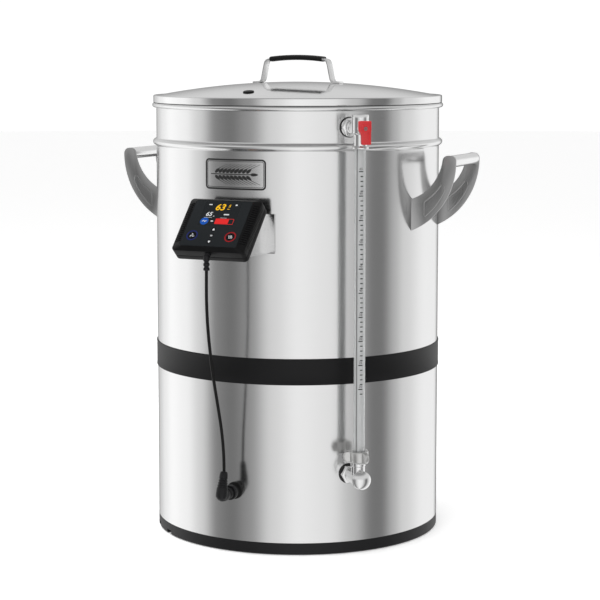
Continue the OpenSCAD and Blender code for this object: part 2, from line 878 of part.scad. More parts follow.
module lower_tee() {
    color("silver")
        difference() {
            union() {
                outward(tube_az, body_r - 14, lower_port_z) cylinder(r = port_r, h = 16);
                outward(tube_az, body_r + 2, lower_port_z) hex(port_hex, 9);
                outward(tube_az, body_r + 11, lower_port_z) cylinder(r = 10.5, h = cap_reach - 11);
                at_az(tube_az) translate([0, -tube_radial, lower_port_z]) cylinder(r = 10.5, h = 24);
            }
            outward(tube_az, body_r - 20, lower_port_z) cylinder(r = 4.5, h = 60);
            outward(tube_az, body_r + cap_reach - 7, lower_port_z) cylinder(r = 8, h = 10);
            outward(tube_az, body_r + cap_reach, lower_port_z) cylinder(r = 14, h = 20);
            at_az(tube_az) translate([0, -tube_radial, lower_port_z]) {
                cylinder(r = 5, h = 30);
                translate([0, 0, 22]) cylinder(r = tube_r, h = 10);
            }
        }
}

cap_reach = 46;

// Compression nut with three lobes for turning it by hand.
module wing_nut() {
    color("lightgray")
        at_az(tube_az)
            translate([0, -tube_radial, lower_port_z + 24.3])
                difference() {
                    union() {
                        cylinder(r = 13, h = 16);
                        for (i = [0:2])
                            rotate([0, 0, 160 + 120 * i]) translate([14, 0, 0])
                                intersection() {
                                    translate([0, 0, 8])
                                        rotate([90, 0, 0]) cylinder(r = 9, h = 7, center = true);
                                    translate([-6, -3.5, 0]) cube([14, 7, 16]);
                                }
                    }
                    translate([0, 0, -1]) cylinder(r = tube_r + 0.3, h = 20);
                }
}

module end_cap() {
    color("silver")
        outward(tube_az, body_r + cap_reach, lower_port_z)
            union() {
                cylinder(r = 13, h = 6);
                translate([0, 0, -7]) cylinder(r = 8, h = 8);
                intersection() {
                    translate([0, 0, 6 - 12.125]) sphere(17.7);
                    translate([0, 0, 5.9]) cylinder(r = 13, h = 10);
                }
            }
}

// ---- Under the kettle's floor, and on it ----

element_r = 110;

module heating_element() {
    color("dimgray")
        translate([0, 0, floor_z - 8]) {
            difference() {
                translate([0, 0, 5]) cylinder(r = element_r + 30, h = 3);
                at_pump(-1) cylinder(r = spigot_r + 4, h = 20);
            }
            rotate_extrude() translate([element_r, 1.5]) circle(4.5, $fn = 32);
            for (x = [-8, 8]) translate([x, -element_r, -14]) cylinder(r = 3, h = 16);
        }
}

module pump_filter() {
    color("silver")
        at_pump(floor_top)
            difference() {
                cylinder(r = 16, h = 28);
                translate([0, 0, -1]) cylinder(r = 15, h = 28);
                for (i = [0:7], z = [6, 13, 20])
                    rotate([0, 0, 45 * i]) translate([0, 0, z]) rotate([90, 0, 0]) cylinder(r = 2, h = 20);
            }
}

module pump_housing() {
    color("#26282a")
        at_pump(0)
            difference() {
                union() {
                    translate([0, 0, pump_z - 12]) cylinder(r = 28, h = 24);
                    translate([0, 0, pump_z]) cylinder(r = spigot_r, h = floor_top - pump_z);
                    translate([0, 0, pump_z + 4]) cylinder(r = 12, h = floor_z - pump_z - 7);
                    translate([0, 0, pump_z]) rotate([90, 0, 0]) cylinder(r = outlet_r, h = hose_start);
                    for (a = [90, 210, 330])
                        rotate([0, 0, a]) translate([20, -5, base_h]) cube([10, 10, pump_z - base_h - 8]);
                }
                translate([0, 0, pump_z - 9]) cylinder(r = 25, h = 18);
                translate([0, 0, pump_z]) cylinder(r = 5.5, h = 60);
                translate([0, 0, pump_z]) rotate([90, 0, 0]) cylinder(r = 5, h = 60);
                translate([0, 0, pump_z - 20]) cylinder(r = shaft_r + shaft_gap, h = 15);
            }
}

shaft_r = 3;
shaft_gap = 0.05;
hose_start = 44;

module pump_impeller() {
    color("ivory")
        at_pump(pump_z)
            union() {
                translate([0, 0, -7]) cylinder(r = 23, h = 2);
                translate([0, 0, -6]) cylinder(r = 5, h = 11);
                translate([0, 0, -22]) cylinder(r = shaft_r, h = 24);
                for (i = [0:5])
                    rotate([0, 0, 60 * i]) translate([4, -1, -6]) cube([18, 2, 10]);
            }
}

module pump_motor() {
    color("slategray")
        at_pump(0)
            difference() {
                translate([0, 0, base_h + 4]) cylinder(r = 19, h = pump_z - 16 - base_h);
                translate([0, 0, pump_z - 25]) cylinder(r = shaft_r + shaft_gap, h = 40);
            }
}

// The delivery hose, straight from the pump to the outlet in the skirt.
module pump_hose() {
    color("whitesmoke")
        outward(pump_az, pump_radial + hose_start, pump_z)
            tube(outlet_r, 3, body_r - 20 - pump_radial - hose_start);
}

module outlet_port() {
    color("silver")
        outward(pump_az, body_r - 20, pump_z)
            difference() {
                union() {
                    cylinder(r = outlet_r, h = 44);
                    difference() {
                        translate([0, 0, 20 - 1]) hex(port_hex, 8);
                        rotate([-90, 0, 0]) translate([0, body_r - 20, -20])
                            cylinder(r = body_r, h = 40, $fn = 256);
                    }
                    translate([0, 0, 8]) hex(port_hex, 9);
                }
                translate([0, 0, -1]) cylinder(r = 5, h = 60);
            }
}

module outlet_cap() {
    color("#202020")
        outward(pump_az, body_r + 12, pump_z)
            difference() {
                cylinder(r = 11, h = 16);
                translate([0, 0, -1]) cylinder(r = outlet_r, h = 13);
            }
}

module temperature_probe() {
    color("silver")
        outward(180, body_r, probe_z)
            union() {
                translate([0, 0, -10.5]) cylinder(r = probe_r, h = 12.5);
                cylinder(r = 7, h = 3);
                translate([0, 0, -11]) sphere(probe_r);
            }
}

module control_box() {
    color("#2b2b2d")
        translate([-120, -40, base_h])
            difference() {
                cube([70, 90, 40]);
                translate([2, 2, 2]) cube([66, 86, 36]);
            }
}

module mains_inlet() {
    color("#171718")
        difference() {
            outward(180, body_r - 24, inlet_z)
                union() {
                    difference() {
                        union() {
                            slab(inlet_w, inlet_h, 3, 0, 24);
                            slab(inlet_w + 12, inlet_h + 6, 3, 22.5, 27);
                        }
                        slab(inlet_w - 6, inlet_h - 6, 2, 6, 30);
                    }
                    for (x = [-8, 0, 8]) translate([x - 1, x == 0 ? 0 : -4, 5]) cube([2, 6, 13]);
                }
            difference() {
                band_ring(shell_r, body_r, inlet_z - 30, inlet_z + 30);
                outward(180, body_r - 24, inlet_z) slab(inlet_w, inlet_h, 3, -1, 40);
            }
        }
}

// ---- Grain basket ----

module grain_basket() {
    color("gainsboro")
        difference() {
            union() {
                rotate_extrude()
                    union() {
                        translate([basket_in_r, basket_floor_z])
                            square([basket_wall, basket_top - basket_floor_z]);
                        translate([basket_in_r - 8, basket_floor_z]) square([9, 1.5]);
                        translate([basket_in_r + 1.8, basket_top - 1.8]) circle(1.8, $fn = 32);
                    }
                for (i = [0:3])
                    at_az(20 + 90 * i)
                        translate([-10, -basket_in_r + 1, basket_leg_z])
                            cube([20, 3, basket_floor_z - basket_leg_z + 1]);
            }
            for (i = [0:3])
                outward(90 * i, basket_in_r - 8, basket_top - 22) slab(60, 12, 5.9, 0, 20);
        }
}

// Holes in rings: six more in each ring than in the one inside it.
module drain_holes(first, last, pitch) {
    for (k = [first:last], i = [0:6 * k - 1])
        rotate([0, 0, 60 * i / k]) translate([pitch * k, 0, -5]) cylinder(r = drain_r, h = 10);
}

hole_pitch = 33;

module basket_floor() {
    color("gainsboro")
        translate([0, 0, basket_floor_z + 1.5])
            difference() {
                cylinder(r = basket_in_r, h = plate_t);
                translate([0, 0, -1]) cylinder(r = pipe_r - 1.5, h = 5);
                drain_holes(1, 5, hole_pitch);
            }
}

module overflow_pipe() {
    color("silver")
        translate([0, 0, basket_floor_z + 1.5])
            union() {
                difference() {
                    union() {
                        translate([0, 0, plate_t]) cylinder(r = pipe_r, h = pipe_top - basket_floor_z);
                        translate([0, 0, plate_t]) cylinder(r = pipe_r + 6, h = collar_h);
                    }
                    translate([0, 0, -1]) cylinder(r = pipe_r - 1.5, h = pipe_top);
                    for (i = [0:3])
                        rotate([0, 0, 45 + 90 * i])
                            translate([0, 0, pipe_top - basket_floor_z - 14])
                                rotate([90, 0, 0]) cylinder(r = 6, h = 30);
                }
                translate([0, 0, plate_t + pipe_top - basket_floor_z]) cylinder(r = pipe_r + 14, h = 2);
            }
}

module top_plate() {
    color("gainsboro")
        translate([0, 0, top_plate_z])
            difference() {
                cylinder(r = basket_in_r - plate_gap, h = plate_t);
                translate([0, 0, -1]) cylinder(r = pipe_r + plate_gap, h = 5);
                drain_holes(1, 5, hole_pitch);
            }
}

module top_plate_knobs() {
    color("#222222")
        for (s = [-1, 1])
            translate([s * 82.5, 0, top_plate_z + plate_t])
                union() {
                    cylinder(r = 4, h = 22);
                    translate([0, 0, 22]) cylinder(r = 11, h = 8);
                }
}

kettle();
skirt();
silicone_band();
base_ring();
base_plate();
base_screws();
rubber_pads();
handle_arm_right_front();
handle_arm_right_rear();
handle_arm_left_front();
handle_arm_left_rear();
handle_grip_right();
handle_grip_left();
badge();
lid_shell();
lid_ring();
vent_bung();
lid_handle_strap();
lid_handle_grip();
controller_bracket();
controller_back();
controller_front();
face_panel();
display_window();
circuit_board();
key_up();
key_set();
key_down();
key_pump();
key_heat();
controller_gland();
controller_cord();
cord_plug();
plug_collar();
wall_socket();
sight_tube();
upper_port();
cock_lever();
cock_plug();
lower_tee();
wing_nut();
end_cap();
port_seals();
port_nuts();
heating_element();
pump_filter();
pump_housing();
pump_impeller();
pump_motor();
pump_hose();
outlet_port();
outlet_cap();
temperature_probe();
control_box();
mains_inlet();
grain_basket();
basket_floor();
overflow_pipe();
top_plate();
top_plate_knobs();
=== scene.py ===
import math

import bpy
from mathutils import Matrix, Vector


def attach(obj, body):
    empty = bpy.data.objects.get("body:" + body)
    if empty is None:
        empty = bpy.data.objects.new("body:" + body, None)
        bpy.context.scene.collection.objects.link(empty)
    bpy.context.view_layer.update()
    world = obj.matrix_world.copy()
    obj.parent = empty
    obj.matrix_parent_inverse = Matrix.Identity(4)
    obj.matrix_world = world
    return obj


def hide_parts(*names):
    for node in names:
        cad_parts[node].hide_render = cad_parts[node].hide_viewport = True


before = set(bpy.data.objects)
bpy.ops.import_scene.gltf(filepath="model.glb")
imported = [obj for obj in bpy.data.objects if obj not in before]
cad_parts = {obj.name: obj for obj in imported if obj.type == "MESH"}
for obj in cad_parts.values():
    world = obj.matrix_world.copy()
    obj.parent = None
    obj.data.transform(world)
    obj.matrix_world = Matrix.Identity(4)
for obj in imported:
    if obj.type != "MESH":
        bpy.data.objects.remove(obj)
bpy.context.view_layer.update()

# ---- Camera ----
# It stands 25 degrees to the right of the brewer's front and a little above its middle,
# with a long lens, and looks slightly down.

camera_data = bpy.data.cameras.new("camera")
camera_data.lens = 114.16
camera_data.sensor_width = 36
camera_data.shift_x = 0.0038
camera_data.shift_y = -0.0833
camera = bpy.data.objects.new("camera", camera_data)
camera.location = (1.1999, -2.5731, 0.7123)
camera.rotation_euler = (math.radians(83.97), 0, math.radians(25))
bpy.context.scene.collection.objects.link(camera)
bpy.context.scene.camera = camera
bpy.context.scene.view_settings.view_transform = "Standard"

# ---- Controller lead ----
# A thin round rubber lead from the controller's strain relief down to a right-angled plug
# at the skirt. It hangs a little forward of the kettle and swings in to the plug.

LEAD_RADIUS = 0.00225
LEAD_ROUTE = [
    (-0.0015, -0.2910, 0.412), (-0.0015, -0.2913, 0.400), (-0.0015, -0.2914, 0.388),
    (-0.0015, -0.2914, 0.376), (-0.0014, -0.2911, 0.364), (-0.0013, -0.2904, 0.352),
    (-0.0012, -0.2894, 0.340), (-0.0010, -0.2880, 0.328), (-0.0009, -0.2862, 0.316),
    (-0.0008, -0.2839, 0.304), (-0.0008, -0.2813, 0.292), (-0.0007, -0.2788, 0.280),
    (-0.0006, -0.2758, 0.268), (-0.0005, -0.2726, 0.256), (-0.0004, -0.2691, 0.244),
    (-0.0003, -0.2654, 0.232), (-0.0002, -0.2618, 0.220), (-0.0001, -0.2582, 0.208),
    (0.0, -0.2547, 0.196), (0.0, -0.2515, 0.184), (0.0, -0.2488, 0.172),
    (0.0, -0.2467, 0.160), (0.0, -0.2452, 0.148), (0.0, -0.2443, 0.136), (0.0, -0.2440, 0.124)]
lead_length = sum(math.dist(a, b) for a, b in zip(LEAD_ROUTE, LEAD_ROUTE[1:]))


def nothing_selected():
    """Leaves edit mode and deselects everything."""
    if bpy.context.object and bpy.context.object.mode != "OBJECT":
        bpy.ops.object.mode_set(mode="OBJECT")
    bpy.ops.object.select_all(action="DESELECT")


def step(tree, kind, **values):
    """Adds a node to a tree. A value that is another node's output is linked to the input."""
    node = tree.nodes.new("ShaderNode" + kind)
    for name, value in values.items():
        if hasattr(node, name):
            setattr(node, name, value)
            continue
        socket = node.inputs[{"first": 0, "second": 1}.get(name, name.replace("_", " "))]
        if isinstance(value, bpy.types.NodeSocket):
            tree.links.new(value, socket)
        else:
            socket.default_value = value
    return node


def new_finish(name, metallic):
    """A material with its shader, and where a point lies on the piece."""
    finish = bpy.data.materials.new(name)
    finish.use_nodes = True
    shader = finish.node_tree.nodes["Principled BSDF"]
    shader.inputs["Metallic"].default_value = metallic
    return finish, shader, step(finish.node_tree, "TexCoord").outputs["Object"]


def surfaced(finish, shader, shade, gloss, bump):
    """Links a finish's colour, gloss and relief to its shader."""
    links = finish.node_tree.links
    links.new(shade.outputs["Result"], shader.inputs["Base Color"])
    links.new(gloss.outputs["Result"], shader.inputs["Roughness"])
    links.new(bump.outputs["Normal"], shader.inputs["Normal"])
    return finish


def grained_finish(name, colour, roughness, metallic=0.0, grain=900, depth=0.15, tint=0.12,
                   spread=0.08, stretch=(1, 1, 1), **sockets):
    """A finish whose colour, gloss and surface vary with a fine grain and a slow drift."""
    finish, shader, place = new_finish(name, metallic)
    tree = finish.node_tree
    for socket, value in sockets.items():
        shader.inputs[socket.replace("_", " ")].default_value = value
    turned = step(tree, "Mapping", Vector=place, Scale=stretch).outputs["Vector"]
    fine = step(tree, "TexNoise", Vector=turned, Scale=grain, Detail=3).outputs["Fac"]
    slow = step(tree, "TexNoise", Vector=place, Scale=14, Detail=4).outputs["Fac"]
    shade = step(tree, "Mix", data_type="RGBA", Factor=slow,
                 A=(*[c * (1 - tint) for c in colour], 1),
                 B=(*[min(1, c * (1 + tint)) for c in colour], 1))
    gloss = step(tree, "MapRange", Value=fine, From_Min=0.3, From_Max=0.7,
                 To_Min=max(0.02, roughness - spread), To_Max=roughness + spread)
    bump = step(tree, "Bump", Strength=depth, Distance=0.0002, Height=fine)
    return surfaced(finish, shader, shade, gloss, bump)


def fitted(piece, finish, body, slot, *nodes):
    """Gives a new piece its finish and its body, and hides the CAD nodes it stands for."""
    piece.data.materials.clear()
    piece.data.materials.append(finish)
    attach(piece, body)
    if nodes:
        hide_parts(*nodes)
    return piece


nothing_selected()
lead_line = bpy.data.curves.new("controller_lead", "CURVE")
lead_line.dimensions = "3D"
lead_line.bevel_depth = LEAD_RADIUS
lead_line.bevel_resolution = 6
lead_line.resolution_u = 6
spline = lead_line.splines.new("BEZIER")
spline.bezier_points.add(len(LEAD_ROUTE) - 1)
for knot, point in zip(spline.bezier_points, LEAD_ROUTE):
    knot.co = point
    knot.handle_left_type = knot.handle_right_type = "AUTO"
controller_lead = bpy.data.objects.new("controller_lead", lead_line)
bpy.context.scene.collection.objects.link(controller_lead)
lead_rubber = grained_finish("lead_rubber", (0.004, 0.004, 0.004), 0.45, grain=1500, depth=0.2,
                             Specular_IOR_Level=0.2)
fitted(controller_lead, lead_rubber, "brewer", "black_rubber", "controller_cord")

# ---- Plug, its collar and the strain relief ----
# Moulded black rubber. The plug's body tapers up to the lead and turns a right angle into
# the round nose, where a screwed collar holds it in the socket in the skirt.


def alone(piece):
    """Selects one piece and nothing else."""
    nothing_selected()
    piece.select_set(True)
    bpy.context.view_layer.objects.active = piece


def closed_up(piece):
    """Turns the faces of a piece in edit mode outwards, and leaves edit mode."""
    bpy.ops.mesh.select_all(action="SELECT")
    bpy.ops.mesh.normals_make_consistent(inside=False)
    nothing_selected()
    return piece


def spun(name, line, steps=96):
    """A solid turned about the vertical axis, from a closed line of (radius, height) points."""
    nothing_selected()
    bpy.ops.mesh.primitive_circle_add(vertices=3, radius=0.001)
    piece = bpy.context.object
    piece.name = name
    bpy.ops.object.mode_set(mode="EDIT")
    bpy.ops.mesh.select_all(action="SELECT")
    bpy.ops.mesh.merge(type="CENTER")
    bpy.ops.transform.translate(value=(line[0][0], 0, line[0][1]))
    for (r0, z0), (r1, z1) in zip(line, line[1:] + line[:1]):
        bpy.ops.mesh.extrude_region_move(
            TRANSFORM_OT_translate={"value": (r1 - r0, 0, z1 - z0)})
    bpy.ops.mesh.select_all(action="SELECT")
    bpy.ops.mesh.remove_doubles(threshold=0.000002)
    bpy.ops.mesh.spin(steps=steps, angle=2 * math.pi, center=(0, 0, 0), axis=(0, 0, 1))
    bpy.ops.mesh.select_all(action="SELECT")
    bpy.ops.mesh.remove_doubles(threshold=0.000002)
    return closed_up(piece)


def settled(piece, place=Matrix.Identity(4), smooth=35):
    """Puts a finished piece in its place in the brewer, and shades its curves smooth."""
    alone(piece)
    piece.matrix_world = place
    bpy.ops.object.transform_apply(location=True, rotation=True, scale=True)
    bpy.ops.object.shade_smooth_by_angle(angle=math.radians(smooth))
    return piece


def joined(name, *pieces):
    """Welds pieces into one object."""
    nothing_selected()
    for piece in pieces:
        piece.select_set(True)
    bpy.context.view_layer.objects.active = pieces[0]
    bpy.ops.object.join()
    pieces[0].name = name
    return pieces[0]


def facing(point, out, up=(0, 0, 1)):
    """A place at a point, with Z along out and Y as near up as it can be."""
    z = Vector(out).normalized()
    x = Vector(up).cross(z).normalized()
    y = z.cross(x)
    return Matrix((
        (x.x, y.x, z.x, point[0]), (x.y, y.y, z.y, point[1]), (x.z, y.z, z.z, point[2]),
        (0, 0, 0, 1)))


def arc(cx, cy, r, start, end, n):
    """Points on an arc, in degrees."""
    angles = [math.radians(start + (end - start) * i / n) for i in range(n + 1)]
    return [(cx + r * math.cos(a), cy + r * math.sin(a)) for a in angles]


def all_round(line):
    """A turned line closed back to the axis."""
    return [(0, line[0][1])] + line + [(0, line[-1][1])]


SOCKET_Z = 0.0900
FORWARD = (0, -1, 0)
PLUG_TOP = Vector((0, -0.2440, 0.1235))
PLUG_HEEL = Vector((0, -0.2520, 0.0920))
heel_to_top = PLUG_TOP - PLUG_HEEL
plug_long = heel_to_top.length
plug_body = spun("plug_body", all_round(
    arc(0, 0, 0.0084, -86, -4, 10)
    + [(0.0083, 0.004), (0.0080, 0.008)]
    + [p for i in range(4) for p in [
        (0.0078 - 0.0005 * i, 0.010 + 0.0035 * i), (0.0071 - 0.0005 * i, 0.0105 + 0.0035 * i),
        (0.0070 - 0.0005 * i, 0.0120 + 0.0035 * i), (0.0077 - 0.0005 * i, 0.0126 + 0.0035 * i)]]
    + [(0.0058, plug_long - 0.004), (0.0050, plug_long - 0.001), (0.0044, plug_long),
       (0.0024, plug_long + 0.0004)]), 48)
settled(plug_body, facing(PLUG_HEEL, heel_to_top, (0, 1, 0)))
plug_nose = spun("plug_nose", all_round(
    [(0.0072, 0.0), (0.0080, 0.0006), (0.0082, 0.0016), (0.0082, 0.0110), (0.0078, 0.0116),
     (0.0078, 0.0128), (0.0082, 0.0134), (0.0082, 0.0200), (0.0072, 0.0252), (0.004, 0.0262)]), 48)
settled(plug_nose, facing((0, -0.2270, SOCKET_Z), FORWARD))
plug_body = joined("lead_plug", plug_body, plug_nose)
plug_rubber = grained_finish("plug_rubber", (0.007, 0.007, 0.008), 0.42, grain=1300, depth=0.25,
                             Specular_IOR_Level=0.25)
fitted(plug_body, plug_rubber, "brewer", "black_rubber", "cord_plug")

plug_collar = spun("plug_collar", [
    (0.0082, 0.0), (0.0098, 0.0), (0.0105, 0.0008), (0.0105, 0.0016), (0.0099, 0.0019),
    (0.0099, 0.0023), (0.0105, 0.0026), (0.0105, 0.0058), (0.0099, 0.0061), (0.0099, 0.0065),
    (0.0105, 0.0068), (0.0105, 0.0080), (0.0097, 0.0090), (0.0083, 0.0090)], 48)
settled(plug_collar, facing((0, -0.2200, SOCKET_Z), FORWARD))
fitted(plug_collar, plug_rubber, "brewer", "black_plastic", "plug_collar")

socket_flange = spun("wall_socket", all_round(
    [(0.0070, -0.0190), (0.0070, -0.0004), (0.0112, -0.0004), (0.0122, 0.0006),
     (0.0122, 0.0024), (0.0112, 0.0038), (0.0090, 0.0040), (0.0080, 0.0046)]
    + [p for i in range(7) for p in [(0.0080, 0.0052 + 0.0016 * i), (0.0074, 0.0060 + 0.0016 * i)]]
    + [(0.0074, 0.0168), (0.0066, 0.0170)]), 64)
settled(socket_flange, facing((0, -0.2100, SOCKET_Z), FORWARD))
socket_plastic = grained_finish("socket_plastic", (0.006, 0.006, 0.006), 0.4, grain=1100,
                                Specular_IOR_Level=0.2)
fitted(socket_flange, socket_plastic, "brewer", "black_plastic", "wall_socket")

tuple(LEAD_ROUTE[0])

CONTROLLER = Matrix((
    (1, 0, 0, 0), (0, 0.67944, -0.73373, -0.265), (0, 0.73373, 0.67944, 0.4744), (0, 0, 0, 1)))


def on_face(x, y, z=0.0):
    """A place on the controller's face: X across, Y up the face, Z out of it."""
    return CONTROLLER @ Matrix.Translation((x, y, z))


ELBOW = CONTROLLER @ Vector((-0.0015, -0.0502, -0.0111))
relief_sleeve = spun("relief_sleeve", all_round(
    [(0.0026, -0.0180), (0.0038, -0.0180), (0.0044, -0.0174), (0.0044, -0.0148), (0.0038, -0.0142),
     (0.0033, -0.0138), (0.0033, -0.0120), (0.0038, -0.0116), (0.0044, -0.0110), (0.0044, -0.0084),
     (0.0038, -0.0078), (0.0033, -0.0074), (0.0033, -0.0056), (0.0038, -0.0050), (0.0044, -0.0044),
     (0.0044, 0.0)] + arc(0, 0, 0.0044, 5, 85, 6)), 40)
settled(relief_sleeve, Matrix.Translation(ELBOW))
relief_stub = spun("relief_stub", all_round(
    [(0.0036, 0.0), (0.0044, 0.0002), (0.0044, 0.0030), (0.0050, 0.0036), (0.0050, 0.0052),
     (0.0044, 0.0058), (0.0044, 0.0110)]), 40)
settled(relief_stub, facing(ELBOW, CONTROLLER.to_3x3() @ Vector((0, 1, 0)), (0, 1, 0)))
relief_sleeve = joined("controller_gland", relief_sleeve, relief_stub)
fitted(relief_sleeve, plug_rubber, "brewer", "black_rubber", "controller_gland")

# ---- Base ring, floor plate, screws and pads ----
# An injection-moulded black ring with vent notches carries the steel skirt. A thin slotted
# plate closes its middle, and rubber pads in its underside stand on the floor.


def refinished(finish, *names):
    """Gives CAD nodes a finish of their own in every material slot."""
    for name in names:
        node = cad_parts[name]
        if not node.data.materials:
            node.data.materials.append(finish)
        for slot in node.material_slots:
            slot.material = finish


ring_plastic = grained_finish("ring_plastic", (0.008, 0.008, 0.009), 0.48, grain=1400, depth=0.3,
                              Specular_IOR_Level=0.25)
refinished(ring_plastic, "base_ring")
refinished(grained_finish("plate_steel", (0.42, 0.42, 0.43), 0.4, metallic=1.0), "base_plate")
refinished(grained_finish("screw_steel", (0.20, 0.20, 0.21), 0.35, metallic=1.0), "base_screws")
refinished(grained_finish("pad_rubber", (0.010, 0.010, 0.010), 0.75, depth=0.5), "rubber_pads")

# ---- Skirt and kettle ----
# Satin stainless sheet. The skirt stands on the base ring; the kettle drops into it and its
# wall steps out over the seam, with a swaged bead under the wire-rolled rim. A thin dark ring
# is painted where the rim is rolled against the wall, as the shade in that crevice.

WALL = 0.210


def satin_steel(name, colour, roughness, lines=0.22):
    """Stainless sheet with fine polishing lines round the vertical axis and a weld at the back."""
    finish, shader, place = new_finish(name, 1.0)
    tree = finish.node_tree
    parts = step(tree, "SeparateXYZ", Vector=place).outputs
    angle = step(tree, "Math", operation="ARCTAN2", first=parts["X"],
                 second=parts["Y"]).outputs["Value"]
    rolled = step(tree, "CombineXYZ", X=angle, Y=parts["Z"]).outputs["Vector"]
    stretched = step(tree, "Mapping", Vector=rolled, Scale=(3, 900, 1)).outputs["Vector"]
    hair = step(tree, "TexNoise", Vector=stretched, Scale=2, Detail=4).outputs["Fac"]
    slow = step(tree, "TexNoise", Vector=place, Scale=3).outputs["Fac"]
    shade = step(tree, "Mix", data_type="RGBA", Factor=hair,
                 A=(*[c * 0.95 for c in colour], 1),
                 B=(*[min(1, c * 1.04) for c in colour], 1))
    both = step(tree, "Math", operation="ADD", first=hair, second=slow).outputs["Value"]
    gloss = step(tree, "MapRange", Value=both, From_Min=0.7, From_Max=1.3,
                 To_Min=roughness * 0.88, To_Max=roughness * 1.12)
    side = step(tree, "Math", operation="ABSOLUTE", first=angle).outputs["Value"]
    weld = step(tree, "MapRange", interpolation_type="SMOOTHSTEP", Value=side, From_Min=0.004,
                From_Max=0.010, To_Min=1.5, To_Max=0.0).outputs["Result"]
    height = step(tree, "Math", operation="ADD", first=hair, second=weld).outputs["Value"]
    bump = step(tree, "Bump", Strength=lines, Distance=0.00004, Height=height)
    return surfaced(finish, shader, shade, gloss, bump)


kettle_steel = satin_steel("kettle_steel", (0.80, 0.80, 0.80), 0.17)
skirt_shell = spun("skirt_shell", [
    (0.2085, 0.0173), (0.2095, 0.0173), (0.2100, 0.0178), (WALL, 0.0600), (WALL, 0.1200),
    (WALL, 0.1900), (WALL, 0.2625), (0.2085, 0.2625), (0.2085, 0.0188), (0.1760, 0.0188),
    (0.1760, 0.0173)], 256)
settled(skirt_shell)
fitted(skirt_shell, kettle_steel, "brewer", "satin_steel", "skirt")

RIM_X, RIM_Z, RIM_R = 0.2125, 0.6305, 0.0035
kettle_shell = spun("kettle_shell", [
    (0, 0.0980), (0.12, 0.0980), (0.2085, 0.0980), (0.2085, 0.2625), (WALL, 0.2625),
    (WALL, 0.34), (WALL, 0.42), (WALL, 0.50), (WALL, 0.5698), (WALL, 0.5702), (0.2104, 0.5712)]
    + arc(0.2100, 0.5765, 0.0050, -76, 76, 14)
    + [(0.2104, 0.5818), (WALL, 0.5828), (WALL, 0.5832), (WALL, 0.6040), (WALL, 0.6275),
       (WALL, 0.6279)]
    + arc(RIM_X, RIM_Z, RIM_R, -130, 168, 22)
    + [(0.2085, 0.6305), (0.2085, 0.6040), (0.2085, 0.5808)]
    + arc(0.2090, 0.5765, 0.0038, 70, -70, 10)
    + [(0.2085, 0.5722), (0.2085, 0.42), (0.2085, 0.2675), (0.2070, 0.2645), (0.2070, 0.1040),
       (0.2058, 0.1010), (0.2030, 0.0995), (0, 0.0995)], 256)
settled(kettle_shell)
fitted(kettle_shell, kettle_steel, "brewer", "satin_steel", "kettle")
# A thin dark ring under the rolled rim: painted shade for the crevice where the rim meets the wall.
seam_shadow = grained_finish("seam_shadow", (0.05, 0.05, 0.05), 0.6, Specular_IOR_Level=0.1)
rim_crevice_shade = spun("rim_crevice_shade", [(0.2099, 0.6267), (0.21025, 0.6267), (0.21025, 0.6276),
                             (0.2099, 0.6276)], 192)
settled(rim_crevice_shade)
fitted(rim_crevice_shade, seam_shadow, "brewer", "satin_steel")

# ---- Silicone band ----
# A stretched strip of black silicone over the seam between kettle and skirt, with a small
# moulded lip along each edge.

band = spun("silicone_band", [
    (WALL, 0.2440), (0.2112, 0.2440), (0.2115, 0.2443), (0.2115, 0.2458), (0.2112, 0.2463),
    (0.2112, 0.2587), (0.2112, 0.2787), (0.2115, 0.2792), (0.2115, 0.2807), (0.2112, 0.2810),
    (WALL, 0.2810)], 256)
settled(band)
band_silicone = grained_finish("band_silicone", (0.0055, 0.0055, 0.006), 0.45, grain=1600,
                               depth=0.3, Specular_IOR_Level=0.2)
fitted(band, band_silicone, "brewer", "black_silicone", "silicone_band")

# ---- Side handles ----
# Each handle is two arms pressed from steel plate, flared where they are spot-welded to the
# kettle, with a stiffening bead pressed in each face and a polished tube between them.

GRIP_X, GRIP_Z, GRIP_R = 0.2608, 0.554, 0.0085
ARM_T, ARM_Y, FLARE_X, FLARE_R = 0.0025, 0.0475, 0.222, 0.060
OUTER_R, INNER_R, INNER_RISE = 0.1082, 0.0703, 0.012
HEAD_SPARE, WALL_END, LEAF_X = 0.0033, 0.2032, 0.2214
JUST_INSIDE = 0.2098


def flat_blank(name, outline, z=0):
    """A flat face with a given outline, in edit mode and all selected."""
    nothing_selected()
    bpy.ops.mesh.primitive_circle_add(vertices=len(outline), radius=0.01, fill_type="NGON")
    piece = bpy.context.object
    piece.name = name
    for corner, (x, y) in zip(piece.data.vertices, outline):
        corner.co = (x, y, z)
    bpy.ops.object.mode_set(mode="EDIT")
    bpy.ops.mesh.select_all(action="SELECT")
    return piece


def cut_sheet(name, outline, thick, edge=0.0004, steps=2):
    """A flat blank cut to an outline, given its thickness, with its edges eased."""
    piece = flat_blank(name, outline)
    bpy.ops.mesh.extrude_region_move(TRANSFORM_OT_translate={"value": (0, 0, thick)})
    closed_up(piece)
    return eased(piece, edge, steps) if edge else piece


def eased(piece, width, steps=2, angle=40):
    """Rounds a piece's sharp edges."""
    alone(piece)
    bevel = piece.modifiers.new("ease", "BEVEL")
    bevel.width = width
    bevel.segments = steps
    bevel.limit_method = "ANGLE"
    bevel.angle_limit = math.radians(angle)
    bpy.ops.object.modifier_apply(modifier=bevel.name)
    return piece


def sliced(piece, places):
    """Cuts a blank's faces across at each place along X, so that it can be curved."""
    alone(piece)
    bpy.ops.object.mode_set(mode="EDIT")
    for place in places:
        bpy.ops.mesh.select_all(action="SELECT")
        bpy.ops.mesh.bisect(plane_co=(place, 0, 0), plane_no=(1, 0, 0))
    nothing_selected()
    return piece


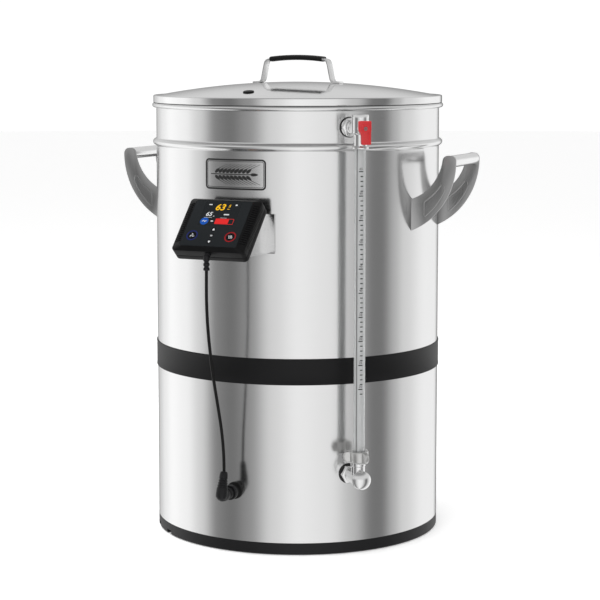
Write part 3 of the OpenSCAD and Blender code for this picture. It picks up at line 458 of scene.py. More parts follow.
def wire_loop(name, points, radius):
    """A round bead of a given radius along a closed line of points."""
    line = bpy.data.curves.new(name, "CURVE")
    line.dimensions = "3D"
    line.bevel_depth = radius
    line.bevel_resolution = 3
    run = line.splines.new("POLY")
    run.points.add(len(points) - 1)
    for knot, point in zip(run.points, points):
        knot.co = (*point, 1)
    run.use_cyclic_u = True
    bead = bpy.data.objects.new(name, line)
    bpy.context.scene.collection.objects.link(bead)
    alone(bead)
    bpy.ops.object.convert(target="MESH")
    return bpy.context.object


def flare(x):
    """How far an arm's sheet bends outwards at a distance from the axis."""
    return FLARE_R - math.sqrt(FLARE_R ** 2 - max(0, FLARE_X - x) ** 2)


outer_x = GRIP_X + GRIP_R - OUTER_R
inner_x = GRIP_X - HEAD_SPARE - GRIP_R - math.sqrt(INNER_R ** 2 - INNER_RISE ** 2)
INNER_Z = GRIP_Z + INNER_RISE


def rim_foot(x, z, r):
    """Where an arc of an arm's rim meets the end that bears on the wall."""
    return WALL_END, z - math.sqrt(r ** 2 - (WALL_END - x) ** 2)


arm_rim = (arc(outer_x, GRIP_Z, OUTER_R, -67, -2, 34) + arc(GRIP_X, GRIP_Z, GRIP_R, 0, 90, 9)
           + arc(GRIP_X - HEAD_SPARE, GRIP_Z, GRIP_R, 90, 180, 9)
           + arc(inner_x, INNER_Z, INNER_R, -12, -70, 26))
arm_outline = ([rim_foot(outer_x, GRIP_Z, OUTER_R)] + [p for p in arm_rim if p[0] > WALL_END]
               + [rim_foot(inner_x, INNER_Z, INNER_R)])
leaf = ([(LEAF_X, 0.4762), (LEAF_X, 0.4950)] + arc(inner_x, INNER_Z, 0.0813, -57.5, -35, 10)
        + arc(0.2482, 0.5172, 0.0034, 110, -30, 8) + arc(outer_x, GRIP_Z, 0.1000, -24, -51.5, 10))
leaf = [p for p in leaf if p[0] >= LEAF_X]
arm_steel = grained_finish("arm_steel", (0.42, 0.42, 0.42), 0.30, metallic=1.0, grain=900,
                           depth=0.05, tint=0.03, spread=0.03, stretch=(1, 1, 6))


def handle_arm(side, front):
    """One arm, on the side +1 or -1, at the front or the rear of its handle."""
    blank = cut_sheet("arm_blank", arm_outline, ARM_T, edge=0)
    sliced(blank, [0.2055, 0.208, 0.2105, 0.213, 0.2155, 0.218, 0.220, 0.222])
    eased(blank, 0.0005, 2)
    beads = [wire_loop("arm_bead", [(x, z, w) for x, z in leaf], 0.0011)
             for w in (0.0004, ARM_T - 0.0004)]
    arm = joined("handle_arm", blank, *beads)
    turn = 1 if side == front else -1
    for corner in arm.data.vertices:
        x, z, w = corner.co
        y = ARM_Y + w + flare(x)
        reach = math.hypot(x, y)
        if reach < JUST_INSIDE:
            x, y = x * JUST_INSIDE / reach, y * JUST_INSIDE / reach
        corner.co = (side * x, -front * y, z)
    alone(arm)
    bpy.ops.object.mode_set(mode="EDIT")
    return settled(closed_up(arm), smooth=30)


for side_name, side in (("right", 1), ("left", -1)):
    for end_name, front in (("front", 1), ("rear", -1)):
        arm = handle_arm(side, front)
        arm.name = f"arm_{side_name}_{end_name}"
        fitted(arm, arm_steel, "brewer", "sheet_steel", f"handle_arm_{side_name}_{end_name}")

grip_steel = grained_finish("grip_steel", (0.86, 0.86, 0.86), 0.16, metallic=1.0, grain=700,
                            depth=0.06, spread=0.04)
for side_name, side in (("right", 1), ("left", -1)):
    grip = spun("grip_tube", [
        (0.0070, 0.0), (0.0080, 0.0), (0.0085, 0.0004), (0.0085, 0.0300), (0.0085, 0.0650),
        (0.0085, 0.0946), (0.0080, 0.0950), (0.0070, 0.0950)], 64)
    settled(grip, facing((side * GRIP_X, ARM_Y, GRIP_Z), FORWARD))
    grip.name = f"grip_{side_name}"
    fitted(grip, grip_steel, "brewer", "polished_steel", f"handle_grip_{side_name}")

# ---- Badge ----
# A black print baked on the kettle: a plain double border round an ear of barley.

BADGE_Z = 0.5385


def rounded_box(w, h, r, n=8, step=0.002):
    """The outline of a rounded rectangle, with points along its long sides too."""
    a, b = w / 2 - r, h / 2 - r
    corners = [arc(a, b, r, 0, 90, n), arc(-a, b, r, 90, 180, n), arc(-a, -b, r, 180, 270, n),
               arc(a, -b, r, 270, 360, n)]
    line = []
    for here, there in zip(corners, corners[1:] + corners[:1]):
        line += here
        (x0, y0), (x1, y1) = here[-1], there[0]
        n_between = int(math.dist((x0, y0), (x1, y1)) / step)
        line += [(x0 + (x1 - x0) * i / n_between, y0 + (y1 - y0) * i / n_between)
                 for i in range(1, n_between)]
    return line


def border(name, w, h, r, width, thick):
    """A frame of even width in the shape of a rounded rectangle."""
    piece = flat_blank(name, rounded_box(w, h, r))
    bpy.ops.mesh.inset(thickness=width)
    bpy.ops.mesh.delete(type="FACE")
    bpy.ops.mesh.select_all(action="SELECT")
    bpy.ops.mesh.extrude_region_move(TRANSFORM_OT_translate={"value": (0, 0, thick)})
    return closed_up(piece)


def kernel(x, y, long, wide, turn, thick):
    """One barley kernel of the print, pointed at both ends."""
    outline = [(long * math.cos(a), wide * math.sin(a) * (1 - 0.3 * math.cos(a)))
               for a in (math.tau * i / 20 for i in range(20))]
    piece = cut_sheet("kernel", outline, thick, edge=0)
    settled(piece, Matrix.Translation((x, y, 0)) @ Matrix.Rotation(turn, 4, "Z"))
    return piece


PRINT_T = 0.00022
prints = [border("border", 0.095, 0.043, 0.0060, 0.0024, PRINT_T),
          border("inner_border", 0.0885, 0.0365, 0.0030, 0.0007, PRINT_T)]
for i in range(9):
    along = -0.027 + 0.0062 * i
    for way in (1, -1):
        prints.append(kernel(along, way * 0.0050, 0.0048, 0.0021, way * math.radians(38), PRINT_T))
        prints.append(cut_sheet("awn", [
            (along + 0.003, way * 0.0078), (along + 0.0165, way * 0.0140),
            (along + 0.0165, way * 0.0144), (along + 0.003, way * 0.0086)], PRINT_T, edge=0))
prints.append(kernel(0.0305, 0, 0.0055, 0.0021, 0, PRINT_T))
stem = cut_sheet("stem", [(-0.038 + 0.0035 * i, 0.0006) for i in range(20)]
                 + [(0.0285 - 0.0035 * i, -0.0006) for i in range(20)], PRINT_T, edge=0)
badge_print = joined("badge_print", *prints, stem)
for corner in badge_print.data.vertices:
    x, y, z = corner.co
    turn, reach = x / WALL, WALL + 0.00002 + z
    corner.co = (reach * math.sin(turn), -reach * math.cos(turn), BADGE_Z + y)
print_ink = grained_finish("print_ink", (0.012, 0.012, 0.012), 0.45, grain=1800, depth=0.1)
fitted(badge_print, print_ink, "brewer", "badge_print", "badge")

# ---- Lid ----
# A domed lid spun from stainless sheet and polished, with a turned-down band that sits on the
# rim over a dark ring painted as the shade in the gap, a locating ring inside, and a silicone
# bung in its vent.

BALL, BALL_Z = 1.11545, 0.664 - 1.11545


def dome(r, ball=BALL):
    """The height of the lid's dome at a distance from its axis."""
    return BALL_Z + math.sqrt(ball ** 2 - r ** 2)


dome_line = [(0.205 * i / 30, dome(0.205 * i / 30)) for i in range(31)]
lid_dome = spun("lid_shell", dome_line + [
    (0.2062, 0.64465), (0.2076, 0.6449), (0.2125, 0.6450), (0.2138, 0.6446), (0.2143, 0.6437),
    (0.2143, 0.6390), (0.2143, 0.6353), (0.2141, 0.6345), (0.2136, 0.6343), (0.2130, 0.6344),
    (0.2128, 0.6350), (0.2128, 0.6425), (0.2118, 0.6435), (0.2050, 0.6435)]
    + [(0.203 * (29 - i) / 30, dome(0.203 * (29 - i) / 30, BALL - 0.0015)) for i in range(30)], 256)
settled(lid_dome, smooth=25)
lid_steel = satin_steel("lid_steel", (0.82, 0.82, 0.82), 0.10, lines=0.10)
fitted(lid_dome, lid_steel, "lid", "polished_steel", "lid_shell")
refinished(kettle_steel, "lid_ring")
# A thin dark ring under the lid's band: painted shade for the gap between the band and the rim.
lid_gap_shade = spun("lid_gap_shade", [(0.2129, 0.6340), (0.2140, 0.6340), (0.2141, 0.6343), (0.2140, 0.6346),
                             (0.2129, 0.6346)], 192)
settled(lid_gap_shade)
fitted(lid_gap_shade, seam_shadow, "lid", "polished_steel")

vent_out = Vector((0, -0.164, math.sqrt(BALL ** 2 - 0.164 ** 2)))
vent_place = facing(Vector((0, -0.164, dome(0.164))), vent_out, (0, 1, 0))
bung = spun("vent_bung", all_round(
    [(0.0055, -0.0035), (0.0070, -0.0034), (0.0070, -0.0026), (0.0055, -0.0015), (0.0055, 0.0),
     (0.0078, 0.0001), (0.0080, 0.0006), (0.0078, 0.0012), (0.0068, 0.0018), (0.0050, 0.0020),
     (0.0040, 0.0017), (0.0020, 0.0015)]), 64)
settled(bung, vent_place)
fitted(bung, band_silicone, "lid", "black_silicone", "vent_bung")

# ---- Lid handle ----
# A steel strap bent into two legs with welded feet, and a soft black grip over its top.

ARCH_MID, ARCH_SAG, ARCH_HALF = 0.700, 0.003, 0.046
ARCH_R = (ARCH_HALF ** 2 + ARCH_SAG ** 2) / (2 * ARCH_SAG)
strap_line = [(-0.071, dome(0.071) + 0.00125), (-0.060, dome(0.060) + 0.0013),
              (-0.0575, dome(0.0575) + 0.0026), (-0.0560, dome(0.056) + 0.0055),
              (-0.0518, 0.6890), (-0.0503, 0.6935), (-0.0485, 0.6958), (-0.0460, 0.6968)]
strap_line += [(x, ARCH_MID - ARCH_R + math.sqrt(ARCH_R ** 2 - x ** 2))
               for x in (-0.040 + 0.008 * i for i in range(6))]
strap_line += [(-x, z) for x, z in reversed(strap_line[:-1])]


def thickened(line, half):
    """The outline of a strip of even thickness along a line."""
    left, right = [], []
    for i, (x, y) in enumerate(line):
        (x0, y0), (x1, y1) = line[max(0, i - 1)], line[min(len(line) - 1, i + 1)]
        long = math.dist((x0, y0), (x1, y1))
        nx, ny = -(y1 - y0) / long, (x1 - x0) / long
        left.append((x + half * nx, y + half * ny))
        right.append((x - half * nx, y - half * ny))
    return left + right[::-1]


strap = cut_sheet("lid_handle_strap", thickened(strap_line, 0.00125), 0.016, edge=0.0004)
settled(strap, facing((0, 0.008, 0), FORWARD), 50)
strap_steel = grained_finish("strap_steel", (0.78, 0.78, 0.78), 0.2, metallic=1.0, grain=700,
                             depth=0.08, stretch=(1, 8, 1), spread=0.05)
fitted(strap, strap_steel, "lid", "polished_steel", "lid_handle_strap")

section = [(0.0103 * math.copysign(abs(math.cos(a)) ** 0.6, math.cos(a)),
            0.0039 * math.copysign(abs(math.sin(a)) ** 0.7, math.sin(a)))
           for a in (math.tau * i / 32 for i in range(32))]
lid_grip = flat_blank("lid_handle_grip", section)
bpy.ops.object.mode_set(mode="OBJECT")
half_turn = math.asin(0.0425 / ARCH_R)
for corner, (y, z) in zip(lid_grip.data.vertices, section):
    corner.co = Matrix.Rotation(-half_turn, 3, "Y") @ Vector((0, y, ARCH_R + z))
bpy.ops.object.mode_set(mode="EDIT")
bpy.ops.mesh.spin(steps=28, angle=-2 * half_turn, center=(0, 0, 0), axis=(0, 1, 0), dupli=False)
eased(closed_up(lid_grip), 0.0012, 3)
settled(lid_grip, Matrix.Translation((0, 0, ARCH_MID - ARCH_R)), 40)
grip_rubber = grained_finish("grip_rubber", (0.006, 0.006, 0.006), 0.38, grain=1300, depth=0.2,
                             Specular_IOR_Level=0.25)
fitted(lid_grip, grip_rubber, "lid", "black_plastic", "lid_handle_grip")

# ---- Controller ----
# Two moulded black shells screwed together on a folded steel bracket. The front shell's broad
# bevels carry fine grip ribs at the sides, and a printed panel lies in its face.

shell_plastic = grained_finish("shell_plastic", (0.0042, 0.0042, 0.0045), 0.36, grain=1700,
                               depth=0.35, Specular_IOR_Level=0.15)


def stepped_shell(name, steps):
    """A moulded block built up in layers, each (width, height, corner radius, depth)."""
    w0, h0, r0, z0 = steps[0]
    piece = flat_blank(name, rounded_box(w0, h0, r0, 6, 0.02), z0)
    for (wa, ha, _, za), (wb, hb, _, zb) in zip(steps, steps[1:]):
        bpy.ops.mesh.extrude_region_move(TRANSFORM_OT_translate={"value": (0, 0, zb - za)})
        bpy.ops.transform.resize(value=(wb / wa, hb / ha, 1))
    return closed_up(piece)


front_shell = stepped_shell("controller_front", [
    (0.1110, 0.0910, 0.0055, -0.0160), (0.1110, 0.0910, 0.0055, -0.0046),
    (0.0890, 0.0814, 0.005, -0.0009), (0.0884, 0.0808, 0.005, -0.0001),
    (0.0874, 0.0798, 0.005, -0.0001), (0.0874, 0.0798, 0.005, -0.0013)])
eased(front_shell, 0.0006, 3, 12)
ribs = []
for way in (1, -1):
    for i in range(19):
        y = 0.0345 - 0.0036 * i
        tilt = way * math.atan2(0.0037, 0.0110)
        on_bevel = (Matrix.Translation((way * 0.0502, y, -0.0027))
                    @ Matrix.Rotation(tilt, 4, "Y"))
        on_side = Matrix.Translation((way * 0.0553, y, -0.0102))
        for size, place in (((0.0092, 0.0018, 0.0016), on_bevel),
                            ((0.0012, 0.0018, 0.0104), on_side)):
            nothing_selected()
            bpy.ops.mesh.primitive_cube_add(size=1)
            rib = bpy.context.object
            rib.scale = size
            bpy.ops.object.transform_apply(scale=True)
            ribs.append(settled(eased(rib, 0.0004, 2), place))
front_shell = joined("controller_front", front_shell, *ribs)
settled(front_shell, CONTROLLER, 30)
fitted(front_shell, shell_plastic, "brewer", "black_plastic", "controller_front")

back_shell = stepped_shell("controller_back", [
    (0.0970, 0.0790, 0.005, -0.0310), (0.1110, 0.0910, 0.0055, -0.0240),
    (0.1110, 0.0910, 0.0055, -0.0163)])
eased(back_shell, 0.0009, 3, 12)
settled(back_shell, CONTROLLER, 30)
fitted(back_shell, shell_plastic, "brewer", "black_plastic", "controller_back")
refinished(grained_finish("bracket_steel", (0.78, 0.78, 0.78), 0.22, metallic=1.0, depth=0.1),
           "controller_bracket")
refinished(grained_finish("board_green", (0.02, 0.09, 0.04), 0.4), "circuit_board")

panel = cut_sheet("face_panel", rounded_box(0.0868, 0.0792, 0.0030), 0.0012, edge=0.00025)
settled(panel, CONTROLLER @ Matrix.Translation((0, 0, -0.0012)), 40)
panel_film = grained_finish("panel_film", (0.0105, 0.0122, 0.0135), 0.34, grain=2200, depth=0.18,
                            Specular_IOR_Level=0.12)
fitted(panel, panel_film, "brewer", "panel_film", "face_panel")
screen = cut_sheet("panel_screen", rounded_box(0.056, 0.042, 0.002), 0.0001, edge=0)
settled(screen, on_face(0, 0.017, -0.00004))
screen_glass = grained_finish("screen_glass", (0.0100, 0.0116, 0.0128), 0.22, grain=1200,
                              depth=0.02, spread=0.03, Specular_IOR_Level=0.12)
fitted(screen, screen_glass, "brewer", "display_glass", "display_window")

# ---- Display figures and key legends ----
# Lit figures behind the screen, and legends printed on the panel and the key caps; the key
# caps' legends glow with the display's white, a painted glow on print. All are plain figures,
# arrows and bars.


def glow(name, colour, strength):
    """A lit colour of the display, with a slight mottle like that of a light guide."""
    finish = grained_finish(name, [c * 0.05 for c in colour], 0.4, grain=500,
                            Specular_IOR_Level=0.05)
    shader = finish.node_tree.nodes["Principled BSDF"]
    shader.inputs["Emission Color"].default_value = (*colour, 1)
    shader.inputs["Emission Strength"].default_value = strength
    return finish


def figures(name, words, size, x, y, slant=0.0):
    """Plain figures as thin raised shapes on the face, centred at a point."""
    nothing_selected()
    bpy.ops.object.text_add()
    piece = bpy.context.object
    piece.name = name
    piece.data.body = words
    piece.data.size = size
    piece.data.align_x = "CENTER"
    piece.data.align_y = "CENTER"
    piece.data.extrude = 0.00006
    piece.data.offset = 0.00022 * size / 0.012
    piece.data.shear = slant
    bpy.ops.object.convert(target="MESH")
    settled(piece, on_face(x, y, 0.00010))
    return piece


def bar(name, x, y, w, h, r=0.0004):
    """A small flat printed bar on the face."""
    piece = cut_sheet(name, rounded_box(w, h, r, 4), 0.00012, edge=0)
    settled(piece, on_face(x, y, 0.00004))
    return piece


yellow = glow("display_yellow", (0.95, 0.53, 0.02), 1.0)
white = glow("display_white", (0.66, 0.67, 0.68), 1.0)
blue = glow("display_blue", (0.012, 0.085, 0.40), 1.0)
red = glow("display_red", (0.70, 0.026, 0.026), 1.0)
large = joined("display_current", figures("large", "63", 0.0150, -0.0027, 0.0277, 0.15),
               figures("small_top", "5", 0.0062, 0.0108, 0.0305, 0.15),
               bar("small_bar", 0.0104, 0.0252, 0.0034, 0.0009))
fitted(large, yellow, "brewer", "display_glass")
target = joined("display_target", figures("target", "65", 0.0098, -0.0162, 0.0154, 0.15),
                bar("degree", -0.0080, 0.0124, 0.0022, 0.0009),
                bar("mark_left", -0.0190, 0.0323, 0.0050, 0.0016),
                bar("mark_right", 0.0206, 0.0327, 0.0030, 0.0022),
                bar("mark_mid", 0.0106, 0.0158, 0.0080, 0.0020),
                bar("rule_left", -0.0160, 0.0098, 0.0120, 0.0004),
                bar("rule_right", 0.0080, 0.0098, 0.0100, 0.0004),
                bar("fill_mark", -0.0078, 0.0038, 0.0036, 0.0018))
fitted(target, white, "brewer", "display_glass")
disc = cut_sheet("disc", arc(0, 0, 0.0062, 0, 350, 35), 0.00012, edge=0)
settled(disc, on_face(-0.0194, 0.0033, 0.00004))
disc.name = "display_link"
fitted(disc, blue, "brewer", "display_glass")
wave = cut_sheet("display_link_mark", thickened(
    [(-0.0032, -0.0008), (-0.0012, 0.0014), (0.0008, -0.0010), (0.0030, 0.0012)], 0.0006),
    0.00012, edge=0)
settled(wave, on_face(-0.0194, 0.0033, 0.00012))
fitted(wave, white, "brewer", "display_glass")
power_frame = border("power_frame", 0.0282, 0.0096, 0.0012, 0.0006, 0.00012)
settled(power_frame, on_face(0.0112, 0.0038, 0.00004))
power = joined("display_power", bar("power", 0.0076, 0.0038, 0.0200, 0.0080, 0.0006), power_frame)
fitted(power, red, "brewer", "display_glass")

# ---- Keys ----
# Five dished rubber keys stand through the panel: up, set and down in a column, and the pump's
# and the heater's at each side, each inside a coloured ring printed on the panel.

key_rubber = grained_finish("key_rubber", (0.003, 0.003, 0.0035), 0.3, grain=1500, depth=0.15,
                            Specular_IOR_Level=0.1)
KEYS = {"key_up": (0.0, -0.0105, 0.0036), "key_set": (0.0, -0.0210, 0.0036),
        "key_down": (0.0, -0.0315, 0.0036), "key_pump": (-0.0293, -0.0220, 0.0060),
        "key_heat": (0.0293, -0.0220, 0.0060)}


def dished_key(name, x, y, r):
    """A round key cap with an eased edge, a dished top and a flange under the panel."""
    cap = spun(name, all_round(
        [(r, -0.0054), (r + 0.0010, -0.0054), (r + 0.0010, -0.0036), (r, -0.0035),
         (r, -0.0002), (r - 0.0002, 0.0001), (r - 0.0005, 0.0003), (r - 0.0010, 0.0003)]
        + [((r - 0.0010) * (7 - i) / 8, 0.0003 - 0.0005 * (1 - ((7 - i) / 8) ** 2))
           for i in range(8)]), 48)
    return settled(cap, CONTROLLER @ Matrix.Translation((x, y, 0)), 40)


def legend(name, outline, x, y, z=0.00002):
    """A flat printed shape on a key cap."""
    piece = cut_sheet(name, outline, 0.00012, edge=0)
    return settled(piece, on_face(x, y, z))


for name, (x, y, r) in KEYS.items():
    cap = dished_key(name, x, y, r)
    cap.name = name + "_cap"
    fitted(cap, key_rubber, name, "key_rubber", name)
arrow = [(-0.0023, -0.0016), (0.0023, -0.0016), (0.0002, 0.0021), (-0.0002, 0.0021)]
up_mark = legend("key_up_mark", arrow, 0.0, -0.0105)
down_mark = legend("key_down_mark", [(-x, -y) for x, y in arrow], 0.0, -0.0315)
set_mark = joined("key_set_mark", *[
    legend("set_bar", rounded_box(0.0034, 0.0007, 0.0003, 3), 0, y) for y in (-0.0203, -0.0217)])
swirl = joined("key_pump_mark", *[legend("swirl", thickened(
    [(0.0036 * t * math.cos(a + 1.6 * t), 0.0036 * t * math.sin(a + 1.6 * t))
     for t in (0.15, 0.35, 0.55, 0.75, 1.0)], 0.00042), -0.0293, -0.0220, -0.00002)
    for a in (0.3, 2.4, 4.5)])
heat_mark = joined("key_heat_mark", *[legend("heat_wave", thickened(
    [(off + 0.0007 * math.sin(t * 5.2), -0.0026 + 0.0052 * t) for t in (i / 8 for i in range(9))],
    0.00038), 0.0293, -0.0220, -0.00002) for off in (-0.0021, 0.0, 0.0021)])
# The key legends take the display's glowing white: printed marks given a painted glow.
for piece, name in ((up_mark, "key_up"), (down_mark, "key_down"), (set_mark, "key_set"),
                    (swirl, "key_pump"), (heat_mark, "key_heat")):
    fitted(piece, white, name, "key_rubber")


def ring_print(name, x, y, inner, outer):
    """A ring printed on the panel round a key."""
    ring = spun(name, [(inner, 0.00004), (outer, 0.00004), (outer, 0.00016), (inner, 0.00016)], 64)
    return settled(ring, on_face(x, y, 0))


pump_blue = grained_finish("pump_blue", (0.009, 0.014, 0.085), 0.35, Specular_IOR_Level=0.1)
heat_red = grained_finish("heat_red", (0.20, 0.006, 0.008), 0.35, Specular_IOR_Level=0.1)
fitted(ring_print("ring_pump", -0.0293, -0.0220, 0.0067, 0.0084), pump_blue, "brewer", "panel_film")
fitted(ring_print("ring_heat", 0.0293, -0.0220, 0.0067, 0.0086), heat_red, "brewer", "panel_film")

# ---- Sight tube ----
# A clear plastic tube with a printed scale: ten numbered marks with four short marks between
# each pair, on the side that faces the brewer's front, and a dark line down its edge that is
# painted shade, standing in for the dark edge of the clear tube.

TUBE_OUT = Vector((math.sin(math.radians(45)), -math.cos(math.radians(45)), 0))
TUBE_AT = TUBE_OUT * 0.250


def tube_side(reach, z):
    """A place at a distance from the brewer's axis on the tube's side, facing outwards."""
    return facing(TUBE_OUT * reach + Vector((0, 0, z)), TUBE_OUT)


tube = spun("sight_tube", [
    (0.0060, 0.1380), (0.0080, 0.1380), (0.0080, 0.25), (0.0080, 0.36), (0.0080, 0.47),
    (0.0080, 0.5846), (0.0060, 0.5846), (0.0060, 0.47), (0.0060, 0.36), (0.0060, 0.25)], 64)
settled(tube, Matrix.Translation(TUBE_AT))
tube_plastic = grained_finish("tube_plastic", (0.69, 0.70, 0.70), 0.10, grain=300, depth=0.01,
                              tint=0.01, spread=0.02, Transmission_Weight=0.5, IOR=1.45)
fitted(tube, tube_plastic, "brewer", "clear_tube", "sight_tube")

MARK_TOP, MARK_STEP, MARK_TALL, MARK_FACING = 0.5457, 0.0335, 0.0014, 34
TUBE_R, PRINT_LIFT = 0.0080, 0.00003
marks = []


def strip(name, x, y, wide, tall, steps):
    """A flat strip for the printed marks and the painted edge shade, with points across it so that
    it can be curved.
    """
    across = [wide * (i / steps - 0.5) for i in range(steps + 1)]
    return cut_sheet(name, [(x + a, y - tall / 2) for a in across]
                     + [(x - a, y + tall / 2) for a in across], 0.00006, edge=0)


def curved_mark(piece, facing_degrees):
    """Wraps a flat mark, X across and Y up, onto the tube's side."""
    for corner in piece.data.vertices:
        x, z, lift = corner.co
        a = math.radians(facing_degrees) + x / TUBE_R
        reach = TUBE_R + PRINT_LIFT + lift
        corner.co = (TUBE_AT.x + reach * math.sin(a), TUBE_AT.y - reach * math.cos(a), z)
    return piece


for major in range(10):
    z = MARK_TOP - MARK_STEP * major
    for minor in range(5 if major < 9 else 2):
        wide, shift = (0.0058, 0.0) if minor == 0 else (0.0037, 0.00105)
        level = z - MARK_STEP * minor / 5
        marks.append(curved_mark(strip("mark", shift, level, wide, MARK_TALL, 6), MARK_FACING))
    nothing_selected()
    bpy.ops.object.text_add()
    number = bpy.context.object
    number.data.body = str(65 - 5 * major)
    number.data.size = 0.0046
    number.data.align_x = "CENTER"
    number.data.extrude = 0.00003
    bpy.ops.object.convert(target="MESH")
    for corner in number.data.vertices:
        corner.co = (corner.co.x, corner.co.y + z + 0.0022, corner.co.z + PRINT_LIFT)
    marks.append(curved_mark(number, MARK_FACING))
scale_marks = joined("tube_scale", *marks)
fitted(scale_marks, print_ink, "brewer", "clear_tube")
# A dark line down the tube's edge: painted shade for the dark edge a clear tube shows.
painted_edge_shade = strip("tube_edge_shade", 0.0, (0.1550 + 0.5780) / 2, 0.0018, 0.5780 - 0.1550, 3)
edge_shade_paint = grained_finish("edge_shade_paint", (0.16, 0.16, 0.16), 0.3, Specular_IOR_Level=0.3)
fitted(curved_mark(painted_edge_shade, -7), edge_shade_paint, "brewer", "clear_tube")

# ---- Upper fitting and shut-off cock ----
# Turned and polished steel. A hexagon clamps a rubber washer on the wall, a stub carries the
# upright body of the cock, and a flared nut at its foot takes the tube.

PORT_Z, TEE_Z = 0.6046, 0.1160


HEX_ACROSS = 0.024


def hexagon(thick, place):
    """A chamfered hexagon of a given thickness, in its place."""
    corners = [(HEX_ACROSS / math.sqrt(3) * math.cos(math.tau * i / 6),
                HEX_ACROSS / math.sqrt(3) * math.sin(math.tau * i / 6)) for i in range(6)]
    return settled(cut_sheet("hex", corners, thick, edge=0.0008), place, 30)


fitting_steel = grained_finish("fitting_steel", (0.84, 0.84, 0.84), 0.12, metallic=1.0, grain=700,
                               depth=0.06, spread=0.05, stretch=(1, 1, 5))
hex_upper = hexagon(0.0080, tube_side(0.2122, PORT_Z))
plate_upper = spun("clamp_washer", [
    (0.0072, 0.0), (0.0128, 0.0), (0.0132, 0.0003), (0.0132, 0.0009), (0.0128, 0.0012),
    (0.0072, 0.0012)], 64)
settled(plate_upper, tube_side(0.2118, PORT_Z), 30)
stub_upper = spun("stub", all_round(
    [(0.0070, -0.0140), (0.0070, 0.0), (0.0104, 0.0), (0.0104, 0.0080), (0.0085, 0.0084),
     (0.0085, 0.0110), (0.0092, 0.0114), (0.0092, 0.0130), (0.0085, 0.0134), (0.0085, 0.0380),
     (0.0060, 0.0380)]), 64)
settled(stub_upper, tube_side(0.2120, PORT_Z), 30)
cock_body = spun("cock_body", all_round(
    [(0.0080, -0.0280), (0.0118, -0.0280), (0.0122, -0.0276), (0.0121, -0.0262), (0.0108, -0.0246),
     (0.0098, -0.0238), (0.0098, -0.0120), (0.0103, -0.0086), (0.0114, -0.0074), (0.0120, -0.0066),
     (0.0120, -0.0040), (0.0117, -0.0037), (0.0117, -0.0031), (0.0120, -0.0028), (0.0120, 0.0120),
     (0.0117, 0.0123), (0.0117, 0.0129), (0.0120, 0.0132), (0.0120, 0.0176), (0.0114, 0.0187),
     (0.0104, 0.0190), (0.0060, 0.0190), (0.0056, 0.0186)]), 72)
settled(cock_body, Matrix.Translation(TUBE_AT + Vector((0, 0, PORT_Z))), 30)
boss = spun("boss", all_round(
    [(0.0062, 0.0), (0.0078, 0.0), (0.0078, 0.0122), (0.0074, 0.0126), (0.0052, 0.0126)]), 48)
settled(boss, tube_side(0.250, PORT_Z), 30)
upper_port = joined("upper_fitting", hex_upper, plate_upper, stub_upper, cock_body, boss)
fitted(upper_port, fitting_steel, "brewer", "cast_steel", "upper_port")

# The washers under both fittings' hexagons: round black rubber, squeezed against the wall.
seal_parts = []
for z in (PORT_Z, TEE_Z):
    washer = spun("washer", [(0.0070, 0.0), (0.0136, -0.0005), (0.0143, 0.0002), (0.0145, 0.0010),
                             (0.0141, 0.0018), (0.0132, 0.0021), (0.0070, 0.0021)], 64)
    seal_parts.append(settled(washer, tube_side(0.2100, z)))
seals = joined("port_washers", *seal_parts)
seal_rubber = grained_finish("seal_rubber", (0.010, 0.010, 0.010), 0.5, depth=0.2)
fitted(seals, seal_rubber, "brewer", "black_rubber", "port_seals")
refinished(fitting_steel, "port_nuts")

# The cock's red enamelled lever: a flat handle bent down from its hub, held by one screw.
lever_outline = ([(0.0088, 0.0104), (-0.0084, 0.0104), (-0.0089, 0.0092), (-0.0090, 0.0)]
                 + arc(0, 0, 0.0090, 183, 216, 4)
                 + [(-0.0050, -0.0100), (-0.0044, -0.0215), (-0.0036, -0.0220), (0.0080, -0.0220),
                    (0.0086, -0.0212), (0.0086, -0.0060), (0.0090, 0.0), (0.0090, 0.0094)])
lever = cut_sheet("cock_lever", lever_outline[::-1], 0.0060, edge=0.0009, steps=3)
lever_hub = spun("hub", all_round(
    [(0.0064, 0.0040), (0.0064, 0.0062), (0.0060, 0.0066), (0.0030, 0.0066)]), 40)
lever = joined("cock_lever", lever, lever_hub)
LEVER_AT = tube_side(0.2635, PORT_Z)
settled(lever, LEVER_AT, 35)
red_enamel = grained_finish("red_enamel", (0.50, 0.008, 0.012), 0.28, grain=900, depth=0.12,
                            Coat_Weight=0.35, Coat_Roughness=0.12)
fitted(lever, red_enamel, "cock", "red_enamel", "cock_lever")
lever_screw = spun("lever_screw", all_round(
    [(0.0026, 0.0058), (0.0026, 0.0068), (0.0022, 0.0072), (0.0012, 0.0072), (0.0011, 0.0064)]), 32)
settled(lever_screw, LEVER_AT)
screw_dark = grained_finish("lever_screw_steel", (0.28, 0.28, 0.28), 0.35, metallic=1.0)
fitted(lever_screw, screw_dark, "cock", "screw_steel")
refinished(grained_finish("plug_brass", (0.72, 0.52, 0.22), 0.3, metallic=1.0), "cock_plug")

# ---- Lower fitting, wing nut and end cap ----
# A steel tee takes the tube's foot from above. Its compression nut is cast with three lobes,
# and a domed cap closes the end that is opened for cleaning.

